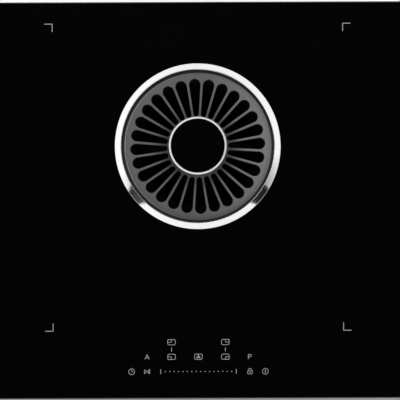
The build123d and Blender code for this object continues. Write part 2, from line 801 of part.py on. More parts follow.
# ---------------------------------------------------------------- power electronics
post_reach_x = power_board_width / 2 - board_post_inset
post_reach_y = power_board_length / 2 - board_post_inset
sink_x = zone_x - power_board_width / 2 + sink_width / 2 + 2 * board_post_inset
part_x = zone_x + power_board_width / 2 - board_part_inset
for side_name, side in zone_sides:
    with BuildPart() as power_board:
        with BuildSketch(Plane.XY.offset(board_base)):
            with Locations((side * zone_x, power_board_y)):
                Rectangle(power_board_width, power_board_length)
        extrude(amount=board_thickness)
        with BuildSketch(Plane.XY.offset(tray_floor)):
            with Locations((side * zone_x, power_board_y)):
                with GridLocations(2 * post_reach_x, 2 * post_reach_y, 2, 2):
                    Circle(board_post_radius)
        extrude(amount=board_level)
        # Capacitors and the rectifier stand in a row beside the heat sink.
        with BuildSketch(Plane.XY.offset(board_top)):
            with Locations((side * part_x, power_board_y)):
                with GridLocations(0, board_part_spacing, 1, board_part_count):
                    Rectangle(board_part_width, board_part_length)
        extrude(amount=board_part_height)
    power_board.part.label = f"power_board_{side_name}"
    export_step(power_board.part, f"parts/power_board_{side_name}.step")

    with BuildPart() as heat_sink:
        with BuildSketch(Plane.XY.offset(board_top)):
            with Locations((side * sink_x, power_board_y)):
                Rectangle(sink_width, sink_length)
        extrude(amount=sink_base)
        fin_pitch = (sink_width - sink_fin) / (sink_fin_count - 1)
        with BuildSketch(Plane.XY.offset(board_top + sink_base)):
            with Locations((side * sink_x, power_board_y)):
                with GridLocations(fin_pitch, 0, sink_fin_count, 1):
                    Rectangle(sink_fin, sink_length)
        extrude(amount=sink_height - sink_base)
    heat_sink.part.label = f"heat_sink_{side_name}"
    export_step(heat_sink.part, f"parts/heat_sink_{side_name}.step")

    fan_place = (side * cooling_fan_x, cooling_fan_y)
    fan_blade_radius = cooling_fan_bore - cooling_fan_tip_gap
    with BuildPart() as cooling_fan_frame:
        with BuildSketch(Plane.XY.offset(tray_floor)):
            with Locations(fan_place):
                RectangleRounded(cooling_fan_size, cooling_fan_size, cooling_fan_corner)
                Circle(cooling_fan_bore, mode=Mode.SUBTRACT)
        extrude(amount=cooling_fan_height)
        with BuildSketch(Plane.XY.offset(tray_floor)):
            with Locations(fan_place):
                Circle(cooling_fan_hub)
                with PolarLocations(0, 2, start_angle=cooling_fan_strut_angle, angular_range=2 * quarter):
                    Rectangle(2 * cooling_fan_bore + cooling_fan_strut, cooling_fan_strut)
        extrude(amount=cooling_fan_base)
        with BuildSketch(Plane.XY.offset(tray_floor + cooling_fan_base)):
            with Locations(fan_place):
                Circle(cooling_fan_pin)
        extrude(amount=cooling_fan_height - 2 * cooling_fan_base)
    cooling_fan_frame.part.label = f"cooling_fan_frame_{side_name}"
    export_step(cooling_fan_frame.part, f"parts/cooling_fan_frame_{side_name}.step")

    # Pitched blades round a hub that turns on the frame's pin.
    rotor_level = tray_floor + cooling_fan_base + shaft_end_gap
    rotor_height = cooling_fan_height - 2 * cooling_fan_base
    with BuildPart() as blade_envelope:
        with BuildSketch(Plane.XY.offset(rotor_level)):
            with Locations(fan_place):
                Circle(fan_blade_radius)
        extrude(amount=rotor_height)
    with BuildPart() as cooling_fan_rotor:
        blade_middle = (cooling_fan_hub + fan_blade_radius) / 2
        with Locations((fan_place[0], fan_place[1], rotor_level + rotor_height / 2)):
            with PolarLocations(blade_middle, cooling_fan_blades):
                Box(
                    fan_blade_radius,
                    cooling_fan_chord,
                    cooling_fan_blade,
                    rotation=(cooling_fan_blade_angle, 0, 0),
                )
        add(blade_envelope.part, mode=Mode.INTERSECT)
        with BuildSketch(Plane.XY.offset(rotor_level)):
            with Locations(fan_place):
                Circle(cooling_fan_hub)
        extrude(amount=rotor_height)
        with BuildSketch(Plane.XY.offset(rotor_level)):
            with Locations(fan_place):
                Circle(cooling_fan_pin + shaft_running_gap)
        extrude(amount=rotor_height, mode=Mode.SUBTRACT)
    cooling_fan_rotor.part.label = f"cooling_fan_rotor_{side_name}"
    export_step(cooling_fan_rotor.part, f"parts/cooling_fan_rotor_{side_name}.step")

with BuildPart() as mains_filter_board:
    with BuildSketch(Plane.XY.offset(board_base)):
        with Locations((0, filter_board_y)):
            Rectangle(filter_board_width, filter_board_length)
    extrude(amount=board_thickness)
    with BuildSketch(Plane.XY.offset(tray_floor)):
        with Locations((0, filter_board_y)):
            with GridLocations(
                filter_board_width - 2 * board_post_inset, filter_board_length - 2 * board_post_inset, 2, 2
            ):
                Circle(board_post_radius)
    extrude(amount=board_level)
    # Three ring chokes stand on the board.
    with BuildSketch(Plane.XY.offset(board_top)):
        with Locations((0, filter_board_y)):
            with GridLocations(choke_spacing, 0, choke_count, 1):
                Circle(choke_radius)
                Circle(choke_bore, mode=Mode.SUBTRACT)
    extrude(amount=board_part_height)
mains_filter_board.part.label = "mains_filter_board"
export_step(mains_filter_board.part, "parts/mains_filter_board.step")

# ---------------------------------------------------------------- touch control
control_base = glass_level - control_level - board_thickness
with BuildPart() as control_holder:
    with BuildSketch(Plane.XY.offset(control_base - control_holder_thickness)):
        with Locations((0, control_y)):
            Rectangle(control_board_width, control_board_length)
            Rectangle(
                control_board_width - 2 * control_holder_frame,
                control_board_length - 2 * control_holder_frame,
                mode=Mode.SUBTRACT,
            )
    extrude(amount=control_holder_thickness)
    with BuildSketch(Plane.XY.offset(tray_floor)):
        with Locations((0, control_y)):
            with GridLocations(
                control_board_width - 2 * control_holder_leg,
                control_board_length - 2 * control_holder_leg,
                2,
                2,
            ):
                Circle(control_holder_leg)
    extrude(amount=control_base - tray_floor)
control_holder.part.label = "control_holder"
export_step(control_holder.part, "parts/control_holder.step")

with BuildPart() as control_board:
    with BuildSketch(Plane.XY.offset(control_base)):
        with Locations((0, control_y)):
            Rectangle(control_board_width, control_board_length)
    extrude(amount=board_thickness)
control_board.part.label = "control_board"
export_step(control_board.part, "parts/control_board.step")

with BuildPart() as touch_pads:
    with BuildSketch(Plane.XY.offset(control_base + board_thickness)):
        with Locations((0, control_y)):
            with GridLocations(touch_pad_spacing, touch_row_spacing, touch_pad_count, touch_row_count):
                Rectangle(2 * touch_pad_radius, 2 * touch_pad_radius)
    extrude(amount=control_level)
touch_pads.part.label = "touch_pads"
export_step(touch_pads.part, "parts/touch_pads.step")

# ---------------------------------------------------------------- air housing
rib_span = housing_width + housing_rib_reach
casing_screw_places = [
    (side * (housing_width / 2 + housing_flange / 2), place * casing_screw_spacing)
    for side in (-1, 1)
    for place in (-1, 0, 1)
]
with BuildPart() as plenum_lower:
    with BuildSketch():
        with Locations((housing_x, housing_y)):
            RectangleRounded(housing_width, housing_length, housing_corner)
    extrude(amount=housing_split)
    fillet(plenum_lower.edges().group_by(Axis.Z)[0], housing_foot_edge)
    with BuildSketch(Plane.XY.offset(housing_split - housing_flange_thickness)):
        with Locations((housing_x, housing_y)):
            RectangleRounded(housing_width + 2 * housing_flange, housing_length, housing_corner)
    extrude(amount=housing_flange_thickness)
    # Ribs stiffen both side walls up to the flange, and shallow grooves the floor.
    with BuildSketch(Plane.XY.offset(housing_rib_level)):
        with Locations((housing_x, housing_y)):
            with GridLocations(rib_span, housing_rib_spacing, 2, housing_rib_count):
                Rectangle(housing_rib_reach, housing_rib_thickness)
    extrude(amount=housing_split - housing_rib_level)
    with BuildSketch():
        with Locations((housing_x, housing_y)):
            with GridLocations(0, housing_groove_spacing, 1, housing_groove_count):
                SlotOverall(housing_groove_length, housing_groove_width)
    extrude(amount=housing_groove_depth, mode=Mode.SUBTRACT)
    with BuildSketch(Plane.XY.offset(housing_wall)):
        with Locations((housing_x, housing_y)):
            RectangleRounded(
                housing_width - 2 * housing_wall,
                housing_length - 2 * housing_wall,
                housing_corner - housing_wall,
            )
    extrude(amount=housing_split, mode=Mode.SUBTRACT)
    with BuildSketch(Plane.XY.offset(housing_split - housing_flange_thickness)):
        with Locations((housing_x, housing_y)):
            with Locations(*casing_screw_places):
                Circle(screw_radius + screw_gap)
    extrude(amount=housing_flange_thickness, mode=Mode.SUBTRACT)
    # Slot for the liquid tray in the front wall.
    with BuildSketch(Plane.XZ.offset(housing_front - housing_wall)):
        with Locations(((drawer_right - drawer_left) / 2, housing_wall)):
            Rectangle(
                drawer_left + drawer_right + 2 * drawer_gap,
                drawer_floor_gap + drawer_height + drawer_gap,
                align=(Align.CENTER, Align.MIN),
            )
    extrude(amount=housing_wall, mode=Mode.SUBTRACT)
    # Window for the air outlet in the rear wall, with the holes of its flange.
    with BuildSketch(Plane.XZ.offset(-housing_rear)):
        with Locations((duct_x, duct_z)):
            Rectangle(duct_inner_width, duct_inner_height)
            with GridLocations(duct_width + duct_flange, duct_screw_spacing, 2, 2):
                Circle(duct_screw_radius)
    extrude(amount=housing_wall, mode=Mode.SUBTRACT)
plenum_lower.part.label = "plenum_lower"
export_step(plenum_lower.part, "parts/plenum_lower.step")

with BuildPart() as plenum_upper:
    with BuildSketch(Plane.XY.offset(housing_split)):
        with Locations((housing_x, housing_y)):
            RectangleRounded(housing_width, housing_length, housing_corner)
    extrude(amount=housing_height - housing_split)
    with BuildSketch(Plane.XY.offset(housing_split)):
        with Locations((housing_x, housing_y)):
            RectangleRounded(housing_width + 2 * housing_flange, housing_length, housing_corner)
    extrude(amount=housing_flange_thickness)
    with BuildSketch(Plane.XY.offset(housing_split)):
        with Locations((housing_x, housing_y)):
            with GridLocations(rib_span, housing_rib_spacing, 2, housing_rib_count):
                Rectangle(housing_rib_reach, housing_rib_thickness)
    extrude(amount=housing_height - housing_split - housing_foot_edge)
    with BuildSketch(Plane.XY.offset(housing_split)):
        with Locations((housing_x, housing_y)):
            RectangleRounded(
                housing_width - 2 * housing_wall,
                housing_length - 2 * housing_wall,
                housing_corner - housing_wall,
            )
    extrude(amount=housing_height - housing_split - housing_wall, mode=Mode.SUBTRACT)
    with BuildSketch(Plane.XY.offset(housing_split)):
        with Locations((housing_x, housing_y)):
            with Locations(*casing_screw_places):
                Circle(screw_radius + screw_gap)
        with Locations((0, vent_y)):
            Circle(throat_outer + collar_gap)
    extrude(amount=housing_height - housing_split, mode=Mode.SUBTRACT)
plenum_upper.part.label = "plenum_upper"
export_step(plenum_upper.part, "parts/plenum_upper.step")

with BuildPart() as casing_screws:
    with BuildSketch(Plane.XY.offset(housing_split - housing_flange_thickness)):
        with Locations((housing_x, housing_y)):
            with Locations(*casing_screw_places):
                Circle(screw_radius)
    extrude(amount=2 * housing_flange_thickness)
    head_level = housing_split - housing_flange_thickness - screw_head_height
    with BuildSketch(Plane.XY.offset(head_level)):
        with Locations((housing_x, housing_y)):
            with Locations(*casing_screw_places):
                RegularPolygon(screw_head_radius, 6)
    extrude(amount=screw_head_height)
casing_screws.part.label = "casing_screws"
export_step(casing_screws.part, "parts/casing_screws.step")

# The liquid tray slides forward out of the front wall.
drawer_width = drawer_left + drawer_right
drawer_x = (drawer_right - drawer_left) / 2
drawer_level = housing_wall + drawer_floor_gap
drawer_y = -housing_front + drawer_length / 2
with BuildPart() as liquid_tray:
    with BuildSketch(Plane.XY.offset(drawer_level)):
        with Locations((drawer_x, drawer_y)):
            RectangleRounded(drawer_width, drawer_length, drawer_corner)
    extrude(amount=drawer_height)
    with BuildSketch(Plane.XY.offset(drawer_level + drawer_wall)):
        with Locations((drawer_x, drawer_y)):
            RectangleRounded(
                drawer_width - 2 * drawer_wall, drawer_length - 2 * drawer_wall, drawer_corner - drawer_wall
            )
    extrude(amount=drawer_height, mode=Mode.SUBTRACT)
    with BuildSketch(Plane.XZ.offset(housing_front)):
        with Locations((drawer_x, drawer_level)):
            Rectangle(
                drawer_width + 2 * drawer_front_overlap,
                drawer_height + drawer_front_overlap,
                align=(Align.CENTER, Align.MIN),
            )
    extrude(amount=drawer_front)
    with BuildSketch(Plane.XZ.offset(housing_front + drawer_front)):
        with Locations((drawer_x, drawer_level + drawer_height)):
            Rectangle(drawer_grip_width, drawer_wall, align=(Align.CENTER, Align.MAX))
    extrude(amount=drawer_grip_depth)
liquid_tray.part.label = "liquid_tray"
export_step(liquid_tray.part, "parts/liquid_tray.step")

# ---------------------------------------------------------------- blower scroll
# The spiral is four quarter arcs about the corners of a square, each wider by its side.
half = scroll_growth / 2
arc_radius = impeller_radius + scroll_start_gap + half
exit_y = housing_rear - housing_wall - blower_y
exit_left = scroll_exit_x - duct_width / 2
exit_right = scroll_exit_x + duct_width / 2
with BuildSketch() as scroll_outline:
    with BuildLine():
        first = CenterArc((-half, half), arc_radius, scroll_tongue_angle, quarter - scroll_tongue_angle)
        CenterArc((-half, -half), arc_radius + scroll_growth, quarter, quarter)
        CenterArc((half, -half), arc_radius + 2 * scroll_growth, 2 * quarter, quarter)
        last = CenterArc((half, half), arc_radius + 3 * scroll_growth, 3 * quarter, quarter)
        Polyline(
            last @ 1,
            (half + arc_radius + 3 * scroll_growth, scroll_exit_lead),
            (exit_right, exit_y),
            (exit_left, exit_y),
            first @ 0,
        )
    make_face()
    tongue = scroll_outline.vertices().sort_by_distance(first @ 0)[0]
    fillet(tongue, scroll_nose)

with BuildPart() as blower_scroll:
    with BuildSketch(Plane.XY.offset(blower_level)):
        with Locations((blower_x, blower_y)):
            add(scroll_outline.sketch)
    extrude(amount=scroll_height)
    with BuildSketch(Plane.XY.offset(blower_floor)):
        with Locations((blower_x, blower_y)):
            add(scroll_outline.sketch)
            with Locations((scroll_exit_x, exit_y)):
                Rectangle(duct_width, scroll_exit_reach)
        offset(amount=-scroll_wall, mode=Mode.REPLACE)
    extrude(amount=scroll_height, mode=Mode.SUBTRACT)
blower_scroll.part.label = "blower_scroll"
export_step(blower_scroll.part, "parts/blower_scroll.step")

with BuildPart() as blower_cover:
    with BuildSketch(Plane.XY.offset(blower_top)):
        with Locations((blower_x, blower_y)):
            add(scroll_outline.sketch)
            Circle(bell_radius, mode=Mode.SUBTRACT)
    extrude(amount=scroll_cover)
    cover_top = blower_top + scroll_cover
    with BuildSketch(blower_section):
        with Locations((bell_radius + bell_curve, cover_top)):
            Circle(bell_curve)
            Circle(bell_curve - bell_wall, mode=Mode.SUBTRACT)
            Rectangle(bell_curve, bell_curve, align=(Align.MAX, Align.MIN), mode=Mode.INTERSECT)
    revolve(axis=blower_axis)
blower_cover.part.label = "blower_cover"
export_step(blower_cover.part, "parts/blower_cover.step")

with BuildPart() as isolators:
    with BuildSketch(Plane.XY.offset(housing_wall)):
        with Locations((blower_x, blower_y)):
            with PolarLocations(isolator_reach, isolator_count, start_angle=isolator_angle):
                Circle(isolator_radius)
    extrude(amount=blower_level - housing_wall)
isolators.part.label = "isolators"
export_step(isolators.part, "parts/isolators.step")

# ---------------------------------------------------------------- motor and impeller
shaft_base = blower_floor + shaft_foot
motor_top = blower_floor + motor_height
with BuildPart() as motor_housing:
    with BuildSketch(Plane.XY.offset(blower_floor)):
        with Locations((blower_x, blower_y)):
            Circle(motor_radius + motor_flange)
    extrude(amount=motor_flange_thickness)
    with BuildSketch(Plane.XY.offset(blower_floor)):
        with Locations((blower_x, blower_y)):
            Circle(motor_radius)
    extrude(amount=motor_height)
    fillet(motor_housing.edges().group_by(Axis.Z)[-1], motor_edge)
    with BuildSketch(Plane.XY.offset(shaft_base)):
        with Locations((blower_x, blower_y)):
            Circle(shaft_radius + shaft_running_gap)
    extrude(amount=motor_height, mode=Mode.SUBTRACT)
motor_housing.part.label = "motor_housing"
export_step(motor_housing.part, "parts/motor_housing.step")

impeller_base = blower_floor + impeller_floor_gap
impeller_top = impeller_base + impeller_height
dish_top = motor_top + impeller_dish_gap
hub_top = dish_top + impeller_hub_height
with BuildPart() as motor_shaft:
    with BuildSketch(Plane.XY.offset(shaft_base + shaft_end_gap)):
        with Locations((blower_x, blower_y)):
            Circle(shaft_radius)
    extrude(amount=hub_top - shaft_base - shaft_end_gap)
motor_shaft.part.label = "motor_shaft"
export_step(motor_shaft.part, "parts/motor_shaft.step")

# A drum of forward-curved blades on a dished back plate that clears the motor.
dish_top_radius = impeller_dish_radius - impeller_dish_draft
blade_middle = (impeller_eye + impeller_radius) / 2
blade_tip = impeller_radius - impeller_blade
with BuildSketch() as blade_outline:
    with BuildLine():
        inner_curve = ThreePointArc(
            (impeller_eye, 0), (blade_middle, -impeller_blade_bulge), (blade_tip, impeller_blade)
        )
        outer_curve = ThreePointArc(
            (impeller_eye, impeller_blade),
            (blade_middle, impeller_blade - impeller_blade_bulge),
            (blade_tip, 2 * impeller_blade),
        )
        Line(inner_curve @ 0, outer_curve @ 0)
        Line(inner_curve @ 1, outer_curve @ 1)
    make_face()

with BuildPart() as impeller:
    with BuildSketch(blower_section):
        with BuildLine():
            Polyline(
                (shaft_radius, dish_top),
                (dish_top_radius, dish_top),
                (impeller_dish_radius, impeller_base),
                (impeller_radius, impeller_base),
                (impeller_radius, impeller_base + impeller_plate),
                (impeller_dish_radius + impeller_plate, impeller_base + impeller_plate),
                (dish_top_radius + impeller_plate, dish_top + impeller_plate),
                (impeller_hub_radius, dish_top + impeller_plate),
                (impeller_hub_radius, hub_top),
                (shaft_radius, hub_top),
                close=True,
            )
        make_face()
        with Locations((impeller_eye, impeller_top)):
            Rectangle(impeller_radius - impeller_eye, impeller_rim, align=(Align.MIN, Align.MAX))
    revolve(axis=blower_axis)
    with BuildSketch(Plane.XY.offset(impeller_base + impeller_plate)):
        with Locations((blower_x, blower_y)):
            with PolarLocations(0, impeller_blades):
                add(blade_outline.sketch)
    extrude(amount=impeller_height - impeller_plate - impeller_rim)
impeller.part.label = "impeller"
export_step(impeller.part, "parts/impeller.step")

# ---------------------------------------------------------------- outlet with its two flaps
flap_y = housing_rear + duct_flange_thickness + flap_level
flap_pitch = duct_inner_height / flap_count
flap_inner_top = duct_z + duct_inner_height / 2
flap_places = [
    flap_inner_top - flap_top_gap - flap_barrel - order * flap_pitch for order in range(flap_count)
]
with BuildPart() as outlet_spigot:
    with BuildSketch(Plane.XZ.offset(-housing_rear)):
        with Locations((duct_x, duct_z)):
            RectangleRounded(
                duct_width + 2 * duct_flange + 2 * duct_screw_radius,
                duct_height - 2 * duct_wall + 2 * duct_flange,
                duct_corner,
            )
    extrude(amount=-duct_flange_thickness)
    with BuildSketch(Plane.XZ.offset(-housing_rear)):
        with Locations((duct_x, duct_z)):
            RectangleRounded(duct_width, duct_height, duct_corner)
    extrude(amount=-duct_length)
    with BuildSketch(Plane.XZ.offset(-housing_rear)):
        with Locations((duct_x, duct_z)):
            Rectangle(duct_inner_width, duct_inner_height)
    extrude(amount=-duct_length, mode=Mode.SUBTRACT)
    with BuildSketch(Plane.XZ.offset(-housing_rear)):
        with Locations((duct_x, duct_z)):
            with GridLocations(duct_width + duct_flange, duct_screw_spacing, 2, 2):
                Circle(duct_screw_radius)
    extrude(amount=-duct_flange_thickness, mode=Mode.SUBTRACT)
    with BuildSketch(Plane.YZ.offset(duct_x)):
        with Locations(*[(flap_y, level) for level in flap_places]):
            Circle(flap_pin)
    extrude(amount=duct_inner_width / 2 + flap_pin_seat, both=True, mode=Mode.SUBTRACT)
outlet_spigot.part.label = "outlet_spigot"
export_step(outlet_spigot.part, "parts/outlet_spigot.step")

with BuildPart() as flap_pins:
    with BuildSketch(Plane.YZ.offset(duct_x)):
        with Locations(*[(flap_y, level) for level in flap_places]):
            Circle(flap_pin)
    extrude(amount=duct_inner_width / 2 + flap_pin_seat, both=True)
flap_pins.part.label = "flap_pins"
export_step(flap_pins.part, "parts/flap_pins.step")

flap_drop = flap_pitch - flap_barrel - flap_end_gap
for flap_name, level in zip(("upper", "lower"), flap_places):
    with BuildPart() as flap:
        with BuildSketch(Plane.YZ.offset(duct_x)):
            with Locations((flap_y, level)):
                Circle(flap_barrel)
                Rectangle(flap_thickness, flap_drop, align=(Align.CENTER, Align.MAX))
                Circle(flap_pin + flap_pin_gap, mode=Mode.SUBTRACT)
        extrude(amount=duct_inner_width / 2 - flap_side_gap, both=True)
    flap.part.label = f"flap_{flap_name}"
    export_step(flap.part, f"parts/flap_{flap_name}.step")

# ---------------------------------------------------------------- boxes below the tray
lid_screw_x = fan_box_width - 2 * lid_screw_inset
lid_screw_y = fan_box_length - 2 * lid_screw_inset
with BuildPart() as fan_control_box:
    with BuildSketch(Plane.XY.offset(tray_level - fan_box_height)):
        with Locations((fan_box_x, fan_box_y)):
            RectangleRounded(fan_box_width, fan_box_length, fan_box_corner)
    extrude(amount=fan_box_height)
    chamfer(fan_control_box.edges().group_by(Axis.Z)[0], fan_box_edge)
    with BuildSketch(Plane.XY.offset(tray_level - fan_box_height)):
        with Locations((fan_box_x, fan_box_y)):
            with GridLocations(lid_screw_x, lid_screw_y, 2, 2):
                Circle(screw_head_radius)
    extrude(amount=lid_screw_depth, mode=Mode.SUBTRACT)
    # Groove where the lid meets the case.
    with BuildSketch(Plane.XY.offset(tray_level - fan_box_height / 2)):
        with Locations((fan_box_x, fan_box_y)):
            RectangleRounded(fan_box_width, fan_box_length, fan_box_corner)
            RectangleRounded(
                fan_box_width - 2 * fan_box_groove,
                fan_box_length - 2 * fan_box_groove,
                fan_box_corner - fan_box_groove,
                mode=Mode.SUBTRACT,
            )
    extrude(amount=fan_box_groove, mode=Mode.SUBTRACT)
fan_control_box.part.label = "fan_control_box"
export_step(fan_control_box.part, "parts/fan_control_box.step")

terminal_rear = terminal_y + terminal_length / 2
gland_level = tray_level - terminal_height / 2
gland_plane = Plane(origin=(terminal_x, terminal_rear, gland_level), x_dir=(-1, 0, 0), z_dir=(0, 1, 0))
with BuildPart() as terminal_box:
    with BuildSketch(Plane.XY.offset(tray_level - terminal_height)):
        with Locations((terminal_x, terminal_y)):
            RectangleRounded(terminal_width, terminal_length, terminal_corner)
    extrude(amount=terminal_height)
    with BuildSketch(Plane.XY.offset(tray_level - terminal_height)):
        with Locations((terminal_x, terminal_y)):
            Rectangle(terminal_width - 2 * terminal_corner, terminal_length - 2 * terminal_corner)
    extrude(amount=terminal_height - terminal_cover_thickness, mode=Mode.SUBTRACT)
    with BuildSketch(gland_plane):
        Circle(gland_bore)
    extrude(amount=-terminal_corner, mode=Mode.SUBTRACT)
terminal_box.part.label = "terminal_box"
export_step(terminal_box.part, "parts/terminal_box.step")

cover_screw_x = terminal_width - 2 * lid_screw_inset
cover_screw_y = terminal_length - 2 * lid_screw_inset
with BuildPart() as terminal_cover:
    with BuildSketch(Plane.XY.offset(tray_level - terminal_height - terminal_cover_thickness)):
        with Locations((terminal_x, terminal_y)):
            RectangleRounded(terminal_width, terminal_length, terminal_corner)
    extrude(amount=terminal_cover_thickness)
    with BuildSketch(Plane.XY.offset(tray_level - terminal_height - terminal_cover_thickness)):
        with Locations((terminal_x, terminal_y)):
            with GridLocations(cover_screw_x, cover_screw_y, 2, 2):
                Circle(screw_head_radius)
    extrude(amount=lid_screw_depth, mode=Mode.SUBTRACT)
terminal_cover.part.label = "terminal_cover"
export_step(terminal_cover.part, "parts/terminal_cover.step")

with BuildPart() as cable_gland:
    with BuildSketch(gland_plane):
        RegularPolygon(gland_flange_radius, 6)
    extrude(amount=gland_flange)
    with BuildSketch(gland_plane):
        Circle(gland_radius)
    extrude(amount=gland_length)
    fillet(cable_gland.edges().group_by(Axis.Y)[-1], gland_flange / 2)
    with BuildSketch(gland_plane):
        Circle(gland_bore)
    extrude(amount=gland_length, mode=Mode.SUBTRACT)
cable_gland.part.label = "cable_gland"
export_step(cable_gland.part, "parts/cable_gland.step")

# ---------------------------------------------------------------- worktop clamps
clamp_base = tray_level + clamp_level
clamp_hole_x = tray_width / 2 + clamp_sheet + clamp_reach / 2
clamp_screw_places = [(side * clamp_hole_x, row * clamp_y) for side in (-1, 1) for row in (-1, 1)]
with BuildPart() as clamp_brackets:
    for side in (-1, 1):
        with BuildSketch(Plane.XY.offset(clamp_base)):
            with Locations((side * (tray_width + clamp_sheet) / 2, 0)):
                with GridLocations(0, 2 * clamp_y, 1, 2):
                    Rectangle(clamp_sheet, clamp_width)
        extrude(amount=clamp_height)
        with BuildSketch(Plane.XY.offset(clamp_base)):
            with Locations((side * (tray_width + clamp_reach) / 2, 0)):
                with GridLocations(0, 2 * clamp_y, 1, 2):
                    Rectangle(clamp_reach, clamp_width)
        extrude(amount=clamp_sheet)
    with BuildSketch(Plane.XY.offset(clamp_base)):
        with Locations(*clamp_screw_places):
            Circle(clamp_screw_radius + clamp_screw_gap)
    extrude(amount=clamp_sheet, mode=Mode.SUBTRACT)
clamp_brackets.part.label = "clamp_brackets"
export_step(clamp_brackets.part, "parts/clamp_brackets.step")

with BuildPart() as clamp_screws:
    with BuildSketch(Plane.XY.offset(clamp_base)):
        with Locations(*clamp_screw_places):
            Circle(clamp_screw_radius)
    extrude(amount=clamp_screw_length)
    with BuildSketch(Plane.XY.offset(clamp_base - clamp_head_height)):
        with Locations(*clamp_screw_places):
            RegularPolygon(clamp_head_radius, 6)
    extrude(amount=clamp_head_height)
clamp_screws.part.label = "clamp_screws"
export_step(clamp_screws.part, "parts/clamp_screws.step")
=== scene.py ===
"""Looks of a built-in induction cooktop with a round downdraft vent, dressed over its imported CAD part.

The glass carries printed zone marks and touch symbols as thin raised ink. Fasteners that the CAD part
leaves to the looks are modelled here, and every CAD node gets a procedural finish.
"""

import json
import logging
import math
from dataclasses import dataclass, field
from enum import Enum
from functools import reduce
from itertools import product
from typing import Any, Callable, ClassVar, Dict, Iterable, List, Sequence, Tuple

import bmesh
import bpy
from mathutils import Matrix, Vector


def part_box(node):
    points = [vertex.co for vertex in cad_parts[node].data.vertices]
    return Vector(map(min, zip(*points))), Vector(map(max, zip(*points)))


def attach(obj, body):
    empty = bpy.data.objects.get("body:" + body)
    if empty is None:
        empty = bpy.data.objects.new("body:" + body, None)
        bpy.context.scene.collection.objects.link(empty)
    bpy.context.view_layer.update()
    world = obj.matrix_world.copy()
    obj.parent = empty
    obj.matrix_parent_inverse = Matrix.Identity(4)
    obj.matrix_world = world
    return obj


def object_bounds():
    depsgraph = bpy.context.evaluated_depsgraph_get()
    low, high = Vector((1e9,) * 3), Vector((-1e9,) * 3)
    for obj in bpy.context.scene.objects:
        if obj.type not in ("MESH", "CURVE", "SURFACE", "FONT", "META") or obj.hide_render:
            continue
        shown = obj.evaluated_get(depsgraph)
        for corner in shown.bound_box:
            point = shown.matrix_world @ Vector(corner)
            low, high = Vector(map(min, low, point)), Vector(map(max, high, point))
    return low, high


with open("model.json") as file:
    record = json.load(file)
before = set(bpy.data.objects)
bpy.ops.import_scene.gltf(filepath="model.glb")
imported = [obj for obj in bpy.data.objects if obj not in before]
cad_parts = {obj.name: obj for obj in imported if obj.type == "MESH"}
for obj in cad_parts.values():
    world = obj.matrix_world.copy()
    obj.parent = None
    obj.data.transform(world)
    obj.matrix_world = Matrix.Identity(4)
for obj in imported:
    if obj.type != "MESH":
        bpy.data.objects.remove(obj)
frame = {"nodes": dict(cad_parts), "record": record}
cad_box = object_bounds()

MM = 0.001
Point = Tuple[float, float]
Triple = Tuple[float, float, float]
Colour = Triple
Seat = Tuple[Vector, Vector]
log = logging.getLogger("cooktop")


# --- shader helpers
def _step(operation: str, swapped: bool = False) -> Callable[..., "Value"]:
    """Makes a method that adds one Math node.

    Args:
        operation: The node's operation.
        swapped: Whether the other operand comes first, as in 1 - mask.

    Returns:
        The method, of one or two operands.
    """

    def method(self: "Value", *others: Any) -> "Value":
        """Adds the node and returns what comes out of it."""
        operands = (*others, self) if swapped else (self, *others)
        return self.shader.value("ShaderNodeMath", {"operation": operation}, dict(enumerate(operands)))

    return method


class Value:
    """A socket that carries a number. What is done with it adds nodes to its shader.

    above is 1 where the value is over a limit, largest is the larger of two values, fraction is
    what is left past the whole number, and size is the value without its sign.
    """

    def __init__(self, shader: "Shader", socket: bpy.types.NodeSocket) -> None:
        """Wraps one output socket of a shader."""
        self.shader = shader
        self.socket = socket

    __add__ = _step("ADD")
    __radd__ = _step("ADD", swapped=True)
    __sub__ = _step("SUBTRACT")
    __rsub__ = _step("SUBTRACT", swapped=True)
    __mul__ = _step("MULTIPLY")
    __rmul__ = _step("MULTIPLY", swapped=True)
    __truediv__ = _step("DIVIDE")
    above = _step("GREATER_THAN")
    largest = _step("MAXIMUM")
    root = _step("SQRT")
    fraction = _step("FRACT")
    size = _step("ABSOLUTE")

    def ramp(
        self, low: float, high: float, start: float = 0.0, end: float = 1.0, kind: str = "SMOOTHSTEP"
    ) -> "Value":
        """Maps low to high onto start to end, held at both ends."""
        values = {"Value": self, "From Min": low, "From Max": high, "To Min": start, "To Max": end}
        return self.shader.value("ShaderNodeMapRange", {"interpolation_type": kind}, values)

    def slant(self, low: float, high: float, start: float, end: float) -> "Value":
        """Maps low to high onto start to end in a straight line, held at both ends."""
        return self.ramp(low, high, start, end, "LINEAR")


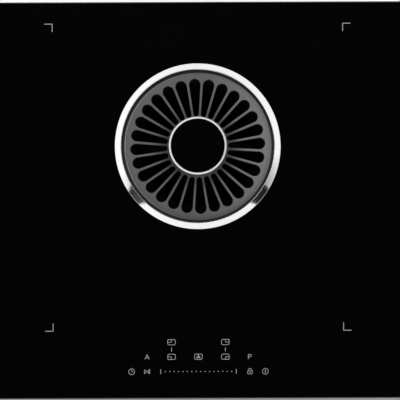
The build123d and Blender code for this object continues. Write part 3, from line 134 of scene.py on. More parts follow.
class Shader:
    """Builds one node tree of a material, world or lamp."""

    def __init__(self, tree: bpy.types.NodeTree) -> None:
        """Empties the tree and takes it over."""
        self.tree = tree
        self.tree.nodes.clear()

    def node(self, kind: str, settings: Dict[str, Any], values: Dict[Any, Any]) -> bpy.types.Node:
        """Adds a node.

        Args:
            kind: The node's type.
            settings: Its own settings, set before its sockets.
            values: For each input, by name or index, a number, a colour, a Value or a socket.

        Returns:
            The new node.
        """
        node = self.tree.nodes.new(kind)
        for name, setting in settings.items():
            setattr(node, name, setting)
        for name, value in values.items():
            socket = node.inputs[name]
            if isinstance(value, Value):
                self.tree.links.new(value.socket, socket)
            elif isinstance(value, bpy.types.NodeSocket):
                self.tree.links.new(value, socket)
            else:
                socket.default_value = value
        return node

    def value(
        self, kind: str, settings: Dict[str, Any], values: Dict[Any, Any], output: Any = 0
    ) -> Value:
        """Adds a node and returns one of its outputs as a value."""
        return Value(self, self.node(kind, settings, values).outputs[output])

    def place(self, scale: Sequence[float] = (1.0, 1.0, 1.0)) -> bpy.types.NodeSocket:
        """Object coordinates in metres.

        Args:
            scale: Factor along each axis.

        Returns:
            The vector.
        """
        coordinates = self.node("ShaderNodeTexCoord", {}, {}).outputs["Object"]
        values = {"Vector": coordinates, "Scale": tuple(scale)}
        return self.node("ShaderNodeMapping", {}, values).outputs[0]

    def parts(self, vector: bpy.types.NodeSocket) -> Tuple[Value, ...]:
        """X, Y and Z of a vector."""
        split = self.node("ShaderNodeSeparateXYZ", {}, {0: vector})
        return tuple(Value(self, output) for output in split.outputs)

    def rays(self, *kinds: str) -> Value:
        """1 for the kinds of ray given, else 0."""
        path = self.node("ShaderNodeLightPath", {}, {})
        return most([Value(self, path.outputs["Is %s Ray" % kind]) for kind in kinds])

    def noise(
        self, scale: float, detail: float = 3.0, stretch: Sequence[float] = (1.0, 1.0, 1.0)
    ) -> Value:
        """Adds noise of 0 to 1, about 0.5 on average.

        Args:
            scale: Waves to the metre.
            detail: Number of finer layers in it.
            stretch: Factor along each axis, small where the noise is drawn out.

        Returns:
            The noise.
        """
        place = self.place(stretch)
        values = {"Vector": place, "Scale": scale, "Detail": detail, "Roughness": 0.55}
        return self.value("ShaderNodeTexNoise", {}, values)

    def cells(self, scale: float, spread: float, output: str, **settings: str) -> Value:
        """Voronoi cells, so many to the metre and so irregular, by the output that is wanted."""
        values = {"Vector": self.place(), "Scale": scale, "Randomness": spread}
        return self.value("ShaderNodeTexVoronoi", settings, values, output)

    def mix(self, factor: Any, first: Any, second: Any) -> bpy.types.NodeSocket:
        """Mixes two colours.

        Args:
            factor: Share of the second colour.
            first: The first colour or its link.
            second: The second colour or its link.

        Returns:
            The mixed colour.
        """
        node = self.node("ShaderNodeMix", {"data_type": "RGBA"}, {0: factor})
        for index, colour in ((6, first), (7, second)):
            if isinstance(colour, bpy.types.NodeSocket):
                self.tree.links.new(colour, node.inputs[index])
            else:
                node.inputs[index].default_value = (*colour, 1.0)
        return node.outputs[2]

    def tint(self, colour: Colour, tone: Value, brightest: float) -> bpy.types.NodeSocket:
        """A colour times a tone that lies between 0 and the brightest."""
        full = tuple(part * brightest for part in colour)
        return self.mix(tone / brightest, (0.0, 0.0, 0.0), full)

    def bump(self, height: Value, depth: float) -> bpy.types.NodeSocket:
        """Normal from a height of 0 to 1 that stands for a depth in metres."""
        values = {"Height": height, "Distance": depth, "Strength": 1.0}
        return self.node("ShaderNodeBump", {}, values).outputs["Normal"]


def most(values: Sequence[Value]) -> Value:
    """The largest of some values."""
    return reduce(Value.largest, values)


def shaded(colour: Colour, factor: float) -> Colour:
    """A colour made darker or lighter by a factor."""
    return tuple(min(1.0, part * factor) for part in colour)


# --- finishes
@dataclass(frozen=True)
class Finish:
    """A plain finish: one colour and gloss, with fine grain where it has any.

    Attributes:
        name: The material's name.
        colour: Base colour, linear.
        roughness: Middle roughness.
        metallic: 1 for metal.
        grain: Height of the fine grain in metres.
        grain_scale: Waves of grain to the metre.
        mottle: Share by which the colour and gloss vary over the surface.
        specular: Strength of its mirror share, 0.5 for plain plastic and glass.
        mottle_scale: Waves of this variation to the metre.
    """

    name: str
    colour: Colour
    roughness: float = 0.5
    metallic: float = 0.0
    grain: float = 0.0
    grain_scale: float = 900.0
    mottle: float = 0.06
    specular: float = 0.5
    mottle_scale: ClassVar[float] = 35.0

    def material(self) -> bpy.types.Material:
        """Makes the Blender material of this finish.

        Returns:
            The material.
        """
        material = bpy.data.materials.new(self.name)
        material.use_nodes = True
        shader = Shader(material.node_tree)
        surface = shader.node("ShaderNodeBsdfPrincipled", {}, self.sockets(shader))
        shader.node("ShaderNodeOutputMaterial", {}, {"Surface": surface.outputs[0]})
        return material

    def sockets(self, shader: Shader) -> Dict[str, Any]:
        """What the surface's sockets get.

        Args:
            shader: The shader that the nodes go into.

        Returns:
            A value or link for each socket.
        """
        values: Dict[str, Any] = {
            "Base Color": (*self.colour, 1.0),
            "Roughness": self.roughness,
            "Metallic": self.metallic,
            "Specular IOR Level": self.specular,
        }
        if self.mottle:
            patches = shader.noise(self.mottle_scale)
            dark, light = (shaded(self.colour, 1.0 + sign * self.mottle) for sign in (-1.0, 1.0))
            values["Base Color"] = shader.mix(patches, dark, light)
            values["Roughness"] = self.roughness * ((patches - 0.5) * (self.mottle * 2.0) + 1.0)
        if self.grain:
            values["Normal"] = shader.bump(shader.noise(self.grain_scale), self.grain)
        return values


@dataclass(frozen=True)
class BrushedFinish(Finish):
    """Metal with fine lines along one axis.

    Attributes:
        stretch: Factor on each axis, small along the lines.
        lines: Lines to the metre across them.
        sheen: How much the roughness differs between the lines.
        score: Depth of the lines in metres.
    """

    stretch: Triple = (1.0, 0.02, 1.0)
    lines: float = 1600.0
    sheen: float = 0.16
    score: float = 0.00002

    def sockets(self, shader: Shader) -> Dict[str, Any]:
        """Adds brushed lines to the roughness and the height.

        Args:
            shader: The shader that the nodes go into.

        Returns:
            A value or link for each socket.
        """
        values = super().sockets(shader)
        lines = shader.noise(self.lines, detail=2.0, stretch=self.stretch)
        values["Roughness"] = self.roughness + (lines - 0.5) * self.sheen
        values["Normal"] = shader.bump(lines, self.score)
        return values


@dataclass(frozen=True)
class SpangleFinish(Finish):
    """Hot-dip galvanised sheet: flat crystals that differ in tone and gloss.

    Attributes:
        crystals: Crystals to the metre.
        darkest: Tone of the darkest crystals, as a share of the colour.
        sheen: How much the roughness differs between crystals.
    """

    crystals: float = 110.0
    darkest: float = 0.78
    sheen: float = 0.22

    def sockets(self, shader: Shader) -> Dict[str, Any]:
        """Gives each crystal its own tone and gloss.

        Args:
            shader: The shader that the nodes go into.

        Returns:
            A value or link for each socket.
        """
        values = super().sockets(shader)
        cells = shader.cells(self.crystals, 1.0, "Color", feature="F1")
        tone = shader.value("ShaderNodeSeparateColor", {}, {0: cells})
        values["Base Color"] = shader.mix(tone, shaded(self.colour, self.darkest), self.colour)
        values["Roughness"] = self.roughness + (tone - 0.5) * self.sheen
        return values


@dataclass(frozen=True)
class MeshFinish(Finish):
    """Pressed filter sheet with rows of diamond cells in relief.

    Attributes:
        cells: Cells to the metre.
        spread: How far they stray from a plain grid, 0 to 1.
        web: Distances from a cell's edge between which its web ends.
        hollow: Tone of the cells, as a share of the colour, a painted shade in them.
        relief: Height of the web in metres.
    """

    cells: float = 330.0
    spread: float = 0.25
    web: Point = (0.02, 0.12)
    hollow: float = 0.2
    relief: float = 0.0003

    def sockets(self, shader: Shader) -> Dict[str, Any]:
        """Sinks the cells and paints shade into them.

        Args:
            shader: The shader that the nodes go into.

        Returns:
            A value or link for each socket.
        """
        values = super().sockets(shader)
        holes = shader.cells(self.cells, self.spread, "Distance", feature="DISTANCE_TO_EDGE")
        web = holes.ramp(*self.web, 1.0, 0.0)
        # Painted shade in the sunken cells.
        values["Base Color"] = shader.mix(web, shaded(self.colour, self.hollow), self.colour)
        values["Normal"] = shader.bump(web, self.relief)
        return values


@dataclass(frozen=True)
class GrilleFinish(Finish):
    """Powder coat on the dished grille, with painted shade down inside the slots and painted light and
    shade over its top, in metres.

    Attributes:
        centre: Y of the grille's axis.
        rim: Radius and height at which the spokes start to fall.
        hub: Radius and height at which they reach the hub.
        coat: Depths below the surface between which the painted shade in the slots sets in.
        shade: Colour of that painted shade at the greater depth.
        shade_roughness: Roughness there.
        coat_scale: Waves of the coat's mottle to the metre.
        line: Half width of groove and bead.
        groove: Radius of the fine groove round the rim.
        groove_shade: Share by which it is darker, as painted shade in the groove.
        groove_depth: Its depth, as a multiple of the grain.
        bead: Radius of the bead outside it.
        bead_highlight: How much painted highlight the bead gets at the left and in the middle, added to
            the coat's tone.
        lean: Share by which the coat is painted lighter on the right than in the middle, as painted
            light.
        front: Tone of the coat in front, as a share of the rest, which makes a painted shade.
        foot_shade: Share by which the spokes' feet on both sides of the cap are darker.
        foot: Where this ends, as a multiple of the hub's radius.
        brightest: Highest tone that the coat can reach.
    """

    centre: float = 0.0706
    rim: Point = (0.0904, 0.209)
    hub: Point = (0.0422, 0.200)
    coat: Point = (0.0007, 0.0022)
    shade: Colour = (0.004, 0.004, 0.004)
    shade_roughness: float = 0.9
    coat_scale: float = 60.0
    line: float = 0.0010
    groove: float = 0.0939
    groove_shade: float = 0.34
    groove_depth: float = 3.0
    bead: float = 0.0953
    bead_highlight: Point = (1.7, 0.3)
    lean: float = 0.5
    front: float = 0.8
    foot_shade: float = 0.6
    foot: float = 1.5
    brightest: float = 3.0

    def sockets(self, shader: Shader) -> Dict[str, Any]:
        """Paints shade into the slots and light and shade over the top, and draws a groove with painted
        shade and a bead with a painted highlight round the rim.

        Args:
            shader: The shader that the nodes go into.

        Returns:
            A value or link for each socket.
        """
        values = super().sockets(shader)
        rim, hub = self.rim[0], self.hub[0]
        x, y, z = shader.parts(shader.place())
        out = y - self.centre
        radius = (x * x + out * out).root()
        mottle = (shader.noise(self.coat_scale) - 0.5) * (self.mottle * 2.0)
        # Painted light: the coat is lighter towards the right.
        tone = mottle + x.ramp(0.0, rim, 1.0, 1.0 + self.lean)
        # The groove is a real dip in the bump below; its darker colour is painted shade.
        rings = [(radius - middle).size() for middle in (self.groove, self.bead)]
        groove, bead = (away.ramp(0.0, self.line, 1.0, 0.0) for away in rings)
        # The bead gets a painted highlight, strongest at the left.
        tone = tone * (1.0 - groove * self.groove_shade) + bead * x.ramp(-rim, 0.0, *self.bead_highlight)
        # Painted shade: the coat is darker towards the front.
        tone = tone * out.ramp(-rim, 0.0, self.front, 1.0)
        # Painted shade at the spokes' feet on both sides of the cap.
        foot = radius.ramp(hub, hub * self.foot, self.foot_shade, 0.0)
        tone = tone * (1.0 - foot * x.size() / radius)
        coat = shader.tint(self.colour, tone, self.brightest)
        # Painted shade down inside the slots: below the dished surface the coat turns to the near-black
        # shade colour.
        depth = (radius.slant(hub, rim, self.hub[1], self.rim[1]) - z).ramp(*self.coat)
        values["Base Color"] = shader.mix(depth, coat, self.shade)
        values["Roughness"] = depth.ramp(0.0, 1.0, self.roughness, self.shade_roughness)
        height = shader.noise(self.grain_scale) - groove * self.groove_depth
        values["Normal"] = shader.bump(height, self.grain)
        return values


@dataclass(frozen=True)
class BoardFinish(Finish):
    """Circuit board with copper tracks under its mask, parts on it and pillars below, in metres.

    Attributes:
        pads: Pads to the metre, which the tracks go round.
        spread: How far they stray from a plain grid, 0 to 1.
        tracks: Tracks to each pad.
        edge: Shares of a track's spacing between which its edge lies.
        mask: How much lighter the mask is over copper, as a factor and a share added.
        pillars: Height under which the pillars stand.
        pillar: Colour of the pillars.
        parts: Heights between which the parts stand.
        film: Colour of the capacitors on the outer boards.
        case: Colour of the chokes on the middle one.
        middle: How far the middle board reaches from the centre.
    """

    pads: float = 45.0
    spread: float = 0.9
    tracks: float = 5.0
    edge: Point = (0.55, 0.65)
    mask: Point = (2.2, 0.02)
    pillars: float = 0.1601
    pillar: Colour = (0.6, 0.6, 0.57)
    parts: Point = (0.1619, 0.19)
    film: Colour = (0.02, 0.05, 0.16)
    case: Colour = (0.02, 0.02, 0.022)
    middle: float = 0.15

    def sockets(self, shader: Shader) -> Dict[str, Any]:
        """Draws the tracks, and colours parts and pillars by their height.

        Args:
            shader: The shader that the nodes go into.

        Returns:
            A value or link for each socket.
        """
        values = super().sockets(shader)
        x, _, z = shader.parts(shader.place())
        away = shader.cells(self.pads, self.spread, "Distance", feature="F1", distance="MANHATTAN")
        lines = (away * self.tracks).fraction().ramp(*self.edge)
        bright = tuple(part * self.mask[0] + self.mask[1] for part in self.colour)
        board = shader.mix(lines, self.colour, bright)
        part = shader.mix(x.size().above(self.middle), self.case, self.film)
        low, high = self.parts
        board = shader.mix(z.above(low) * (1.0 - z.above(high)), board, part)
        values["Base Color"] = shader.mix(z.above(self.pillars), self.pillar, board)
        return values


@dataclass(frozen=True)
class WindingFinish(Finish):
    """Bands of enamelled wire, with the strands as fine lines round the coil.

    Attributes:
        strands: Strands to the metre.
        gap: Tone between the strands, as a share of the colour, a painted shade.
        relief: Height of the strands in metres.
    """

    strands: float = 420.0
    gap: float = 0.55
    relief: float = 0.0002

    def sockets(self, shader: Shader) -> Dict[str, Any]:
        """Adds strands on both axes, the nearer side of the square band showing, with painted shade
        between them.

        Args:
            shader: The shader that the nodes go into.

        Returns:
            A value or link for each socket.
        """
        values = super().sockets(shader)
        waves = {"Vector": shader.place(), "Scale": self.strands, "Distortion": 0.0}
        settings = {"wave_type": "BANDS", "bands_direction": "DIAGONAL"}
        lines = shader.value("ShaderNodeTexWave", settings, waves, "Fac")
        # Painted shade in the creases between the strands.
        values["Base Color"] = shader.mix(lines, shaded(self.colour, self.gap), self.colour)
        values["Normal"] = shader.bump(lines, self.relief)
        return values


INK = Finish("light_grey_enamel_ink", (0.5, 0.5, 0.5), 0.45, grain=0.000004, grain_scale=2500.0)
ZINC = Finish("zinc_plated_steel", (0.62, 0.62, 0.6), 0.3, 1.0, grain=0.000008, grain_scale=1400.0)

FINISHES: Dict[str, Finish] = {
    "black_glass": Finish("polished_black_glass", (0.0016, 0.0016, 0.0017), 0.06, mottle=0.12),
    "seal_foam": Finish("closed_cell_foam", (0.03, 0.03, 0.03), 0.9, grain=0.0002, grain_scale=700.0),
    "chrome": Finish("polished_chrome", (0.9, 0.9, 0.9), 0.035, 1.0, mottle=0.03),
    "dark_plastic": Finish("satin_black_moulding", (0.026, 0.026, 0.027), 0.42, grain=0.00002),
    "silicone": Finish("moulded_silicone", (0.07, 0.07, 0.07), 0.65, grain=0.00001, mottle=0.1),
    "grille_grey": GrilleFinish(
        "grey_textured_powder_coat", (0.13, 0.13, 0.131), 0.42, grain=0.00005, grain_scale=1500.0
    ),
    "filter_plastic": Finish(
        "black_filter_plastic", (0.002, 0.002, 0.0022), 0.7, grain=0.00004, specular=0.2
    ),
    "coated_mesh": MeshFinish("black_coated_mesh", (0.004, 0.004, 0.004), 0.7, specular=0.2),
    "galvanised": SpangleFinish("galvanised_spangle", (0.56, 0.58, 0.59), 0.42, 0.85, mottle=0.05),
    "mica": Finish("pressed_mica", (0.5, 0.44, 0.33), 0.55, mottle=0.25),
    "white_ceramic": Finish("white_ceramic", (0.78, 0.77, 0.74), 0.4, grain=0.00001),
    "brass_post": Finish("turned_brass", (0.72, 0.55, 0.25), 0.3, 1.0, grain=0.00001),
    "circuit_board": BoardFinish("green_circuit_board", (0.015, 0.12, 0.045), 0.35),
    "copper": WindingFinish("enamelled_copper", (0.55, 0.2, 0.08), 0.38, 0.8),
    "grey_plastic": Finish("grey_moulded_plastic", (0.3, 0.31, 0.32), 0.5, grain=0.00002),
    "conductive_foam": Finish(
        "conductive_foam", (0.05, 0.05, 0.05), 0.95, grain=0.0001, grain_scale=1200.0
    ),
    "housing_plastic": Finish(
        "black_housing_plastic", (0.028, 0.028, 0.03), 0.48, grain=0.00005, mottle=0.12
    ),
    "zinc_screw": ZINC,
    "tray_plastic": Finish("grey_tray_plastic", (0.33, 0.34, 0.35), 0.45, grain=0.00002),
    "aluminium": BrushedFinish("milled_aluminium", (0.75, 0.76, 0.77), 0.36, 1.0),
    "ferrite": Finish("sintered_ferrite", (0.05, 0.05, 0.055), 0.6, grain=0.00008, mottle=0.15),
    "impeller_plastic": Finish("light_impeller_plastic", (0.42, 0.42, 0.42), 0.5, grain=0.00001),
    "flap_plastic": Finish("grey_flap_plastic", (0.16, 0.16, 0.17), 0.5, grain=0.00002),
    "gland_plastic": Finish("black_nylon", (0.035, 0.035, 0.036), 0.42, grain=0.00002, mottle=0.1),
}


class Wardrobe:
    """Makes each finish once and dresses pieces with it."""

    def __init__(self) -> None:
        """Starts with nothing made."""
        self.made: Dict[str, bpy.types.Material] = {}

    def dress(self, piece: bpy.types.Object, finish: Finish) -> None:
        """Gives a piece one finish all over.

        Args:
            piece: The piece.
            finish: Its finish, made once and shared.
        """
        if finish.name not in self.made:
            self.made[finish.name] = finish.material()
        piece.data.materials.clear()
        piece.data.materials.append(self.made[finish.name])

    def dress_cad(self) -> None:
        """Gives every CAD node the finish of its slot in the record."""
        for part in frame["record"]["subparts"]:
            self.dress(frame["nodes"][part["node"]], FINISHES[part["material_slot"]])


# --- sub-assemblies
@dataclass
class SubAssembly:
    """New pieces that ride on the cooktop's body and share one finish.

    Attributes:
        wardrobe: Where the finish is made.
        body: The CAD body that the pieces ride on.
        slot: Name of a material slot in the record; not used.
        finish: Their finish.
    """

    wardrobe: Wardrobe
    body: ClassVar[str] = "cooktop"
    slot: ClassVar[str] = ""
    finish: ClassVar[Finish]

    def model(self) -> List[bpy.types.Object]:
        """Models the pieces."""
        raise NotImplementedError

    def build(self) -> None:
        """Models the pieces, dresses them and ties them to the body."""
        for piece in self.model():
            self.wardrobe.dress(piece, self.finish)
            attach(piece, self.body)
            log.info("%s: %d faces on %s", piece.name, len(piece.data.polygons), self.body)


# --- modelling helpers
class Bench:
    """Modelling by operators, with the selection made in code."""

    @staticmethod
    def clear() -> None:
        """Leaves edit mode and deselects everything."""
        if bpy.context.object and bpy.context.object.mode != "OBJECT":
            bpy.ops.object.mode_set(mode="OBJECT")
        bpy.ops.object.select_all(action="DESELECT")

    @staticmethod
    def pick(piece: bpy.types.Object, kind: str, test: Callable[[Any], bool]) -> None:
        """Selects the faces or edges that pass a test, in edit mode.

        Args:
            piece: The piece in edit mode.
            kind: faces or edges.
            test: Says whether one is wanted.
        """
        bpy.ops.mesh.select_mode(type="FACE" if kind == "faces" else "EDGE")
        bpy.ops.mesh.select_all(action="DESELECT")
        mesh = bmesh.from_edit_mesh(piece.data)
        for part in getattr(mesh, kind):
            if test(part):
                part.select_set(True)
        bmesh.update_edit_mesh(piece.data)

    @staticmethod
    def start(name: str) -> bpy.types.Object:
        """Applies the place of the primitive just added and goes into edit mode.

        Args:
            name: The primitive's new name.

        Returns:
            The piece, with all of it selected.
        """
        piece = bpy.context.object
        piece.name = name
        bpy.ops.object.transform_apply(location=True, rotation=True, scale=True)
        bpy.ops.object.mode_set(mode="EDIT")
        bpy.ops.mesh.select_all(action="SELECT")
        return piece

    @staticmethod
    def copy(model: bpy.types.Object, move: Matrix) -> bpy.types.Object:
        """Copies a piece with its own mesh.

        Args:
            model: The piece.
            move: What carries its mesh to the copy's place. It may mirror it.

        Returns:
            The copy, with its faces outward.
        """
        copy = model.copy()
        copy.data = model.data.copy()
        copy.data.transform(move)
        if move.determinant() < 0.0:
            copy.data.flip_normals()
        bpy.context.scene.collection.objects.link(copy)
        return copy

    @staticmethod
    def join(name: str, parts: List[bpy.types.Object]) -> bpy.types.Object:
        """Joins parts into one piece at the origin.

        Args:
            name: The piece's name.
            parts: The parts, which it takes up.

        Returns:
            The piece.
        """
        Bench.clear()
        for part in parts:
            part.select_set(True)
        bpy.context.view_layer.objects.active = parts[0]
        bpy.ops.object.join()
        piece = bpy.context.object
        piece.name = name
        piece.data.name = name
        bpy.ops.object.select_all(action="DESELECT")
        return piece


# --- printed marks
class Corner(Enum):
    """A corner of a rectangle, as the signs of its X and Y."""

    REAR_LEFT = (-1, 1)
    REAR_RIGHT = (1, 1)
    FRONT_LEFT = (-1, -1)
    FRONT_RIGHT = (1, -1)

    def carry(self, rear: float, front: float) -> Matrix:
        """Mirrors what was drawn for the rear right corner into this one.

        Args:
            rear: Y of the rear corners in millimetres.
            front: Y of the front corners in millimetres.

        Returns:
            What carries the mesh there.
        """
        side, row = self.value
        shift = 0.0 if row > 0 else (rear + front) * MM
        return Matrix.Translation((0.0, shift, 0.0)) @ Matrix.Diagonal((side, row, 1.0, 1.0))


OTHER_CORNERS = (Corner.REAR_LEFT, Corner.FRONT_LEFT, Corner.FRONT_RIGHT)


@dataclass
class InkPen:
    """Draws flat shapes of ink on the glass, in millimetres on the glass plane.

    Attributes:
        level: Height of the glass in metres.
        lift: Gap between the glass and the ink's underside in metres.
        thickness: Thickness of the ink in metres.
        layer: What each further shape of a symbol is thicker, so that no two tops share a plane.
        line: Width of a line in millimetres.
        slack: Distance below the middle from which faces count as the lower half, in metres.
        parts: The shapes drawn since the last piece was lifted off.
    """

    level: float
    lift: float = 0.00001
    thickness: float = 0.00005
    layer: float = 0.000002
    line: float = 0.51
    slack: ClassVar[float] = 0.000001
    parts: List[bpy.types.Object] = field(default_factory=list)

    def _finish_flat(self, piece: bpy.types.Object) -> None:
        """Gives a flat shape the ink's thickness and keeps it.

        Args:
            piece: The shape, in edit mode.
        """
        bpy.ops.mesh.select_all(action="SELECT")
        move = {"value": (0.0, 0.0, self.thickness + self.layer * len(self.parts))}
        bpy.ops.mesh.extrude_region_move(TRANSFORM_OT_translate=move)
        bpy.ops.mesh.select_all(action="SELECT")
        bpy.ops.mesh.normals_make_consistent(inside=False)
        bpy.ops.object.mode_set(mode="OBJECT")
        self.parts.append(piece)

    def _hollow(self) -> None:
        """Turns the selected face into an outline of the pen's width."""
        bpy.ops.mesh.inset(thickness=self.line * MM, depth=0.0)
        bpy.ops.mesh.delete(type="FACE")

    def _outline(self, piece: bpy.types.Object) -> None:
        """Keeps only the outline of the selected face, as ink."""
        self._hollow()
        self._finish_flat(piece)

    def _place(self, centre: Point) -> Vector:
        """A point on the underside of the ink, in metres."""
        return Vector((centre[0] * MM, centre[1] * MM, self.level + self.lift))

    def _round(self, name: str, centre: Point, radius: float, sides: int) -> bpy.types.Object:
        """Starts a filled circle, or a triangle that points right.

        Args:
            name: Its name.
            centre: Its middle.
            radius: Its radius.
            sides: Number of its sides, 3 for the triangle.

        Returns:
            The flat shape, in edit mode.
        """
        Bench.clear()
        turn = (0.0, 0.0, -math.pi / 2) if sides == 3 else (0.0, 0.0, 0.0)
        bpy.ops.mesh.primitive_circle_add(
            vertices=sides,
            radius=radius * MM,
            fill_type="NGON",
            location=self._place(centre),
            rotation=turn,
        )
        return Bench.start(name)

    def stroke(self, start: Point, end: Point, width: float = 1.0) -> None:
        """Draws a straight line.

        Args:
            start: First end.
            end: Second end.
            width: Its width, as a multiple of the pen's.
        """
        Bench.clear()
        middle = self._place(((start[0] + end[0]) / 2, (start[1] + end[1]) / 2))
        run = Vector((end[0] - start[0], end[1] - start[1]))
        turn = (0.0, 0.0, math.atan2(run.y, run.x))
        bpy.ops.mesh.primitive_plane_add(size=1.0, location=middle, rotation=turn)
        bpy.context.object.scale = (run.length * MM, width * self.line * MM, 1.0)
        self._finish_flat(Bench.start("stroke"))

    def ring(self, centre: Point, radius: float) -> None:
        """Draws a circle's outline inside its radius."""
        self._outline(self._round("ring", centre, radius, sides=28))

    def dot(self, centre: Point, radius: float) -> None:
        """Draws a filled circle."""
        self._finish_flat(self._round("dot", centre, radius, sides=12))

    def triangle(self, centre: Point, radius: float) -> None:
        """Draws the outline of a triangle that points right."""
        self._outline(self._round("triangle", centre, radius, sides=3))

    def frame(self, centre: Point, width: float, height: float, corner: float) -> None:
        """Draws the outline of a rectangle with rounded corners.

        Args:
            centre: Its middle.
            width: Its outer width.
            height: Its outer height.
            corner: Its corner radius.
        """
        Bench.clear()
        bpy.ops.mesh.primitive_plane_add(size=1.0, location=self._place(centre))
        bpy.context.object.scale = (width * MM, height * MM, 1.0)
        piece = Bench.start("frame")
        bpy.ops.mesh.bevel(affect="VERTICES", offset=corner * MM, segments=4)
        Bench.pick(piece, "faces", lambda face: True)
        self._outline(piece)

    def arch(self, centre: Point, radius: float, rise: float) -> None:
        """Draws an upside-down U, as a padlock's shackle.

        Args:
            centre: Middle of its round end.
            radius: Its outer radius.
            rise: Length of its straight legs below the centre.
        """
        piece = self._round("arch", centre, radius, sides=24)
        self._hollow()
        cut = centre[1] * MM - self.slack
        Bench.pick(piece, "faces", lambda face: face.calc_center_median().y < cut)
        bpy.ops.mesh.delete(type="FACE")
        self._finish_flat(piece)
        leg = centre[0] + radius - self.line / 2
        self.stroke((leg, centre[1]), (leg, centre[1] - rise))
        self.echo(1, [self.mirror(centre[0])])

    @staticmethod
    def mirror(middle: float) -> Matrix:
        """Mirrors left to right about an X in millimetres."""
        flip = Matrix.Diagonal((-1.0, 1.0, 1.0, 1.0))
        return Matrix.Translation((2.0 * middle * MM, 0.0, 0.0)) @ flip

    @staticmethod
    def shift(across: float) -> Matrix:
        """Shifts along X by millimetres."""
        return Matrix.Translation((across * MM, 0.0, 0.0))

    @staticmethod
    def turn(centre: Point, degrees: float) -> Matrix:
        """Turns about a point in millimetres."""
        pivot = Matrix.Translation((centre[0] * MM, centre[1] * MM, 0.0))
        return pivot @ Matrix.Rotation(math.radians(degrees), 4, "Z") @ pivot.inverted()

    def echo(self, count: int, moves: Iterable[Matrix], crossing: bool = False) -> None:
        """Copies the last shapes drawn to further places.

        Args:
            count: How many of the last shapes are copied.
            moves: What carries them to each place.
            crossing: Whether the copies cross each other, so that each has to lie a little higher.
        """
        drawn = self.parts[-count:]
        for move in moves:
            for shape in drawn:
                rise = 2.0 * self.layer * len(self.parts) if crossing else 0.0
                self.parts.append(Bench.copy(shape, Matrix.Translation((0.0, 0.0, rise)) @ move))

    def lift_off(self, name: str) -> bpy.types.Object:
        """Joins what was drawn since the last call.

        Args:
            name: Name of the joined piece.

        Returns:
            The piece.
        """
        piece = Bench.join(name, self.parts)
        self.parts = []
        return piece


